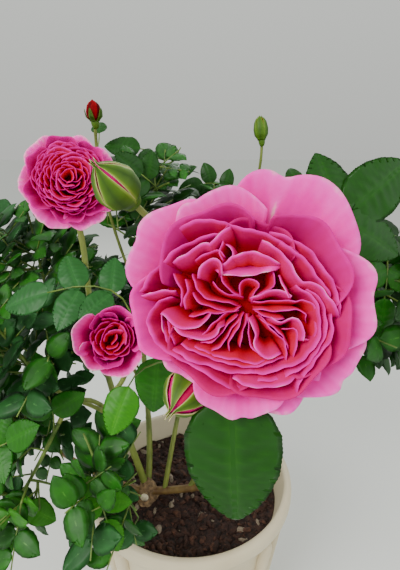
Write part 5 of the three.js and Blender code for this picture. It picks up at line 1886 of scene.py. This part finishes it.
def area_light(name, place, size, power, tint):
    data = bpy.data.lights.new(name, "AREA")
    data.shape = "DISK"
    data.size = size
    data.energy = power
    data.color = tint
    light = bpy.data.objects.new(name, data)
    bpy.context.scene.collection.objects.link(light)
    light.location = place
    way = unit(np.array(LIGHT_AIM, float) - np.array(place, float))
    light.rotation_euler = (math.acos(-way[2]), 0, math.atan2(way[1], way[0]) - math.pi / 2)


bpy.ops.object.select_all(action="DESELECT")
bpy.ops.mesh.primitive_plane_add(size=GROUND_SIZE)
floor_plane = start_piece("floor")
floor_material, _, floor_shader = new_material("pale_floor", 0.8, 0.5)
floor_shader.inputs["Base Color"].default_value = colour(GROUND_COLOUR)
floor_plane.data.materials.append(floor_material)
floor_plane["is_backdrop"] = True

for name, light in LIGHTS.items():
    area_light(name, *light)
world = bpy.data.worlds.new("soft_sky")
world.use_nodes = True
sky = world.node_tree
way_out = node(sky, "ShaderNodeTexCoord")
parts = node(sky, "ShaderNodeSeparateXYZ")
height_share = node(sky, "ShaderNodeMapRange")
height_share.inputs["From Max"].default_value = SKY_HEIGHT
shade = node(sky, "ShaderNodeMix", data_type="RGBA")
shade.inputs[COLOUR_A].default_value = colour(SKY_LOW)
shade.inputs[COLOUR_B].default_value = colour(SKY_HIGH)
sky.links.new(way_out.outputs["Generated"], parts.inputs["Vector"])
sky.links.new(parts.outputs["Z"], height_share.inputs["Value"])
sky.links.new(height_share.outputs["Result"], shade.inputs["Factor"])
sky.links.new(shade.outputs[COLOUR_OUT], sky.nodes["Background"].inputs["Color"])
sky.nodes["Background"].inputs["Strength"].default_value = SKY_STRENGTH
bpy.context.scene.world = world

camera_data = bpy.data.cameras.new("camera")
camera = bpy.data.objects.new("camera", camera_data)
bpy.context.scene.collection.objects.link(camera)
camera_data.sensor_width = SENSOR_WIDTH
camera_data.lens = SENSOR_WIDTH * FOCAL_PIXELS / PHOTO_HEIGHT
camera_data.clip_start = CLIP_NEAR
camera_data.clip_end = CLIP_FAR
camera.location = CAMERA_PLACE
camera.rotation_euler = (CAMERA_PITCH * DEGREE, 0, 0)
bpy.context.scene.camera = camera

low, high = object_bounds()
{"cad": [list(cad_low), list(cad_high)], "visual": [list(low), list(high)]}
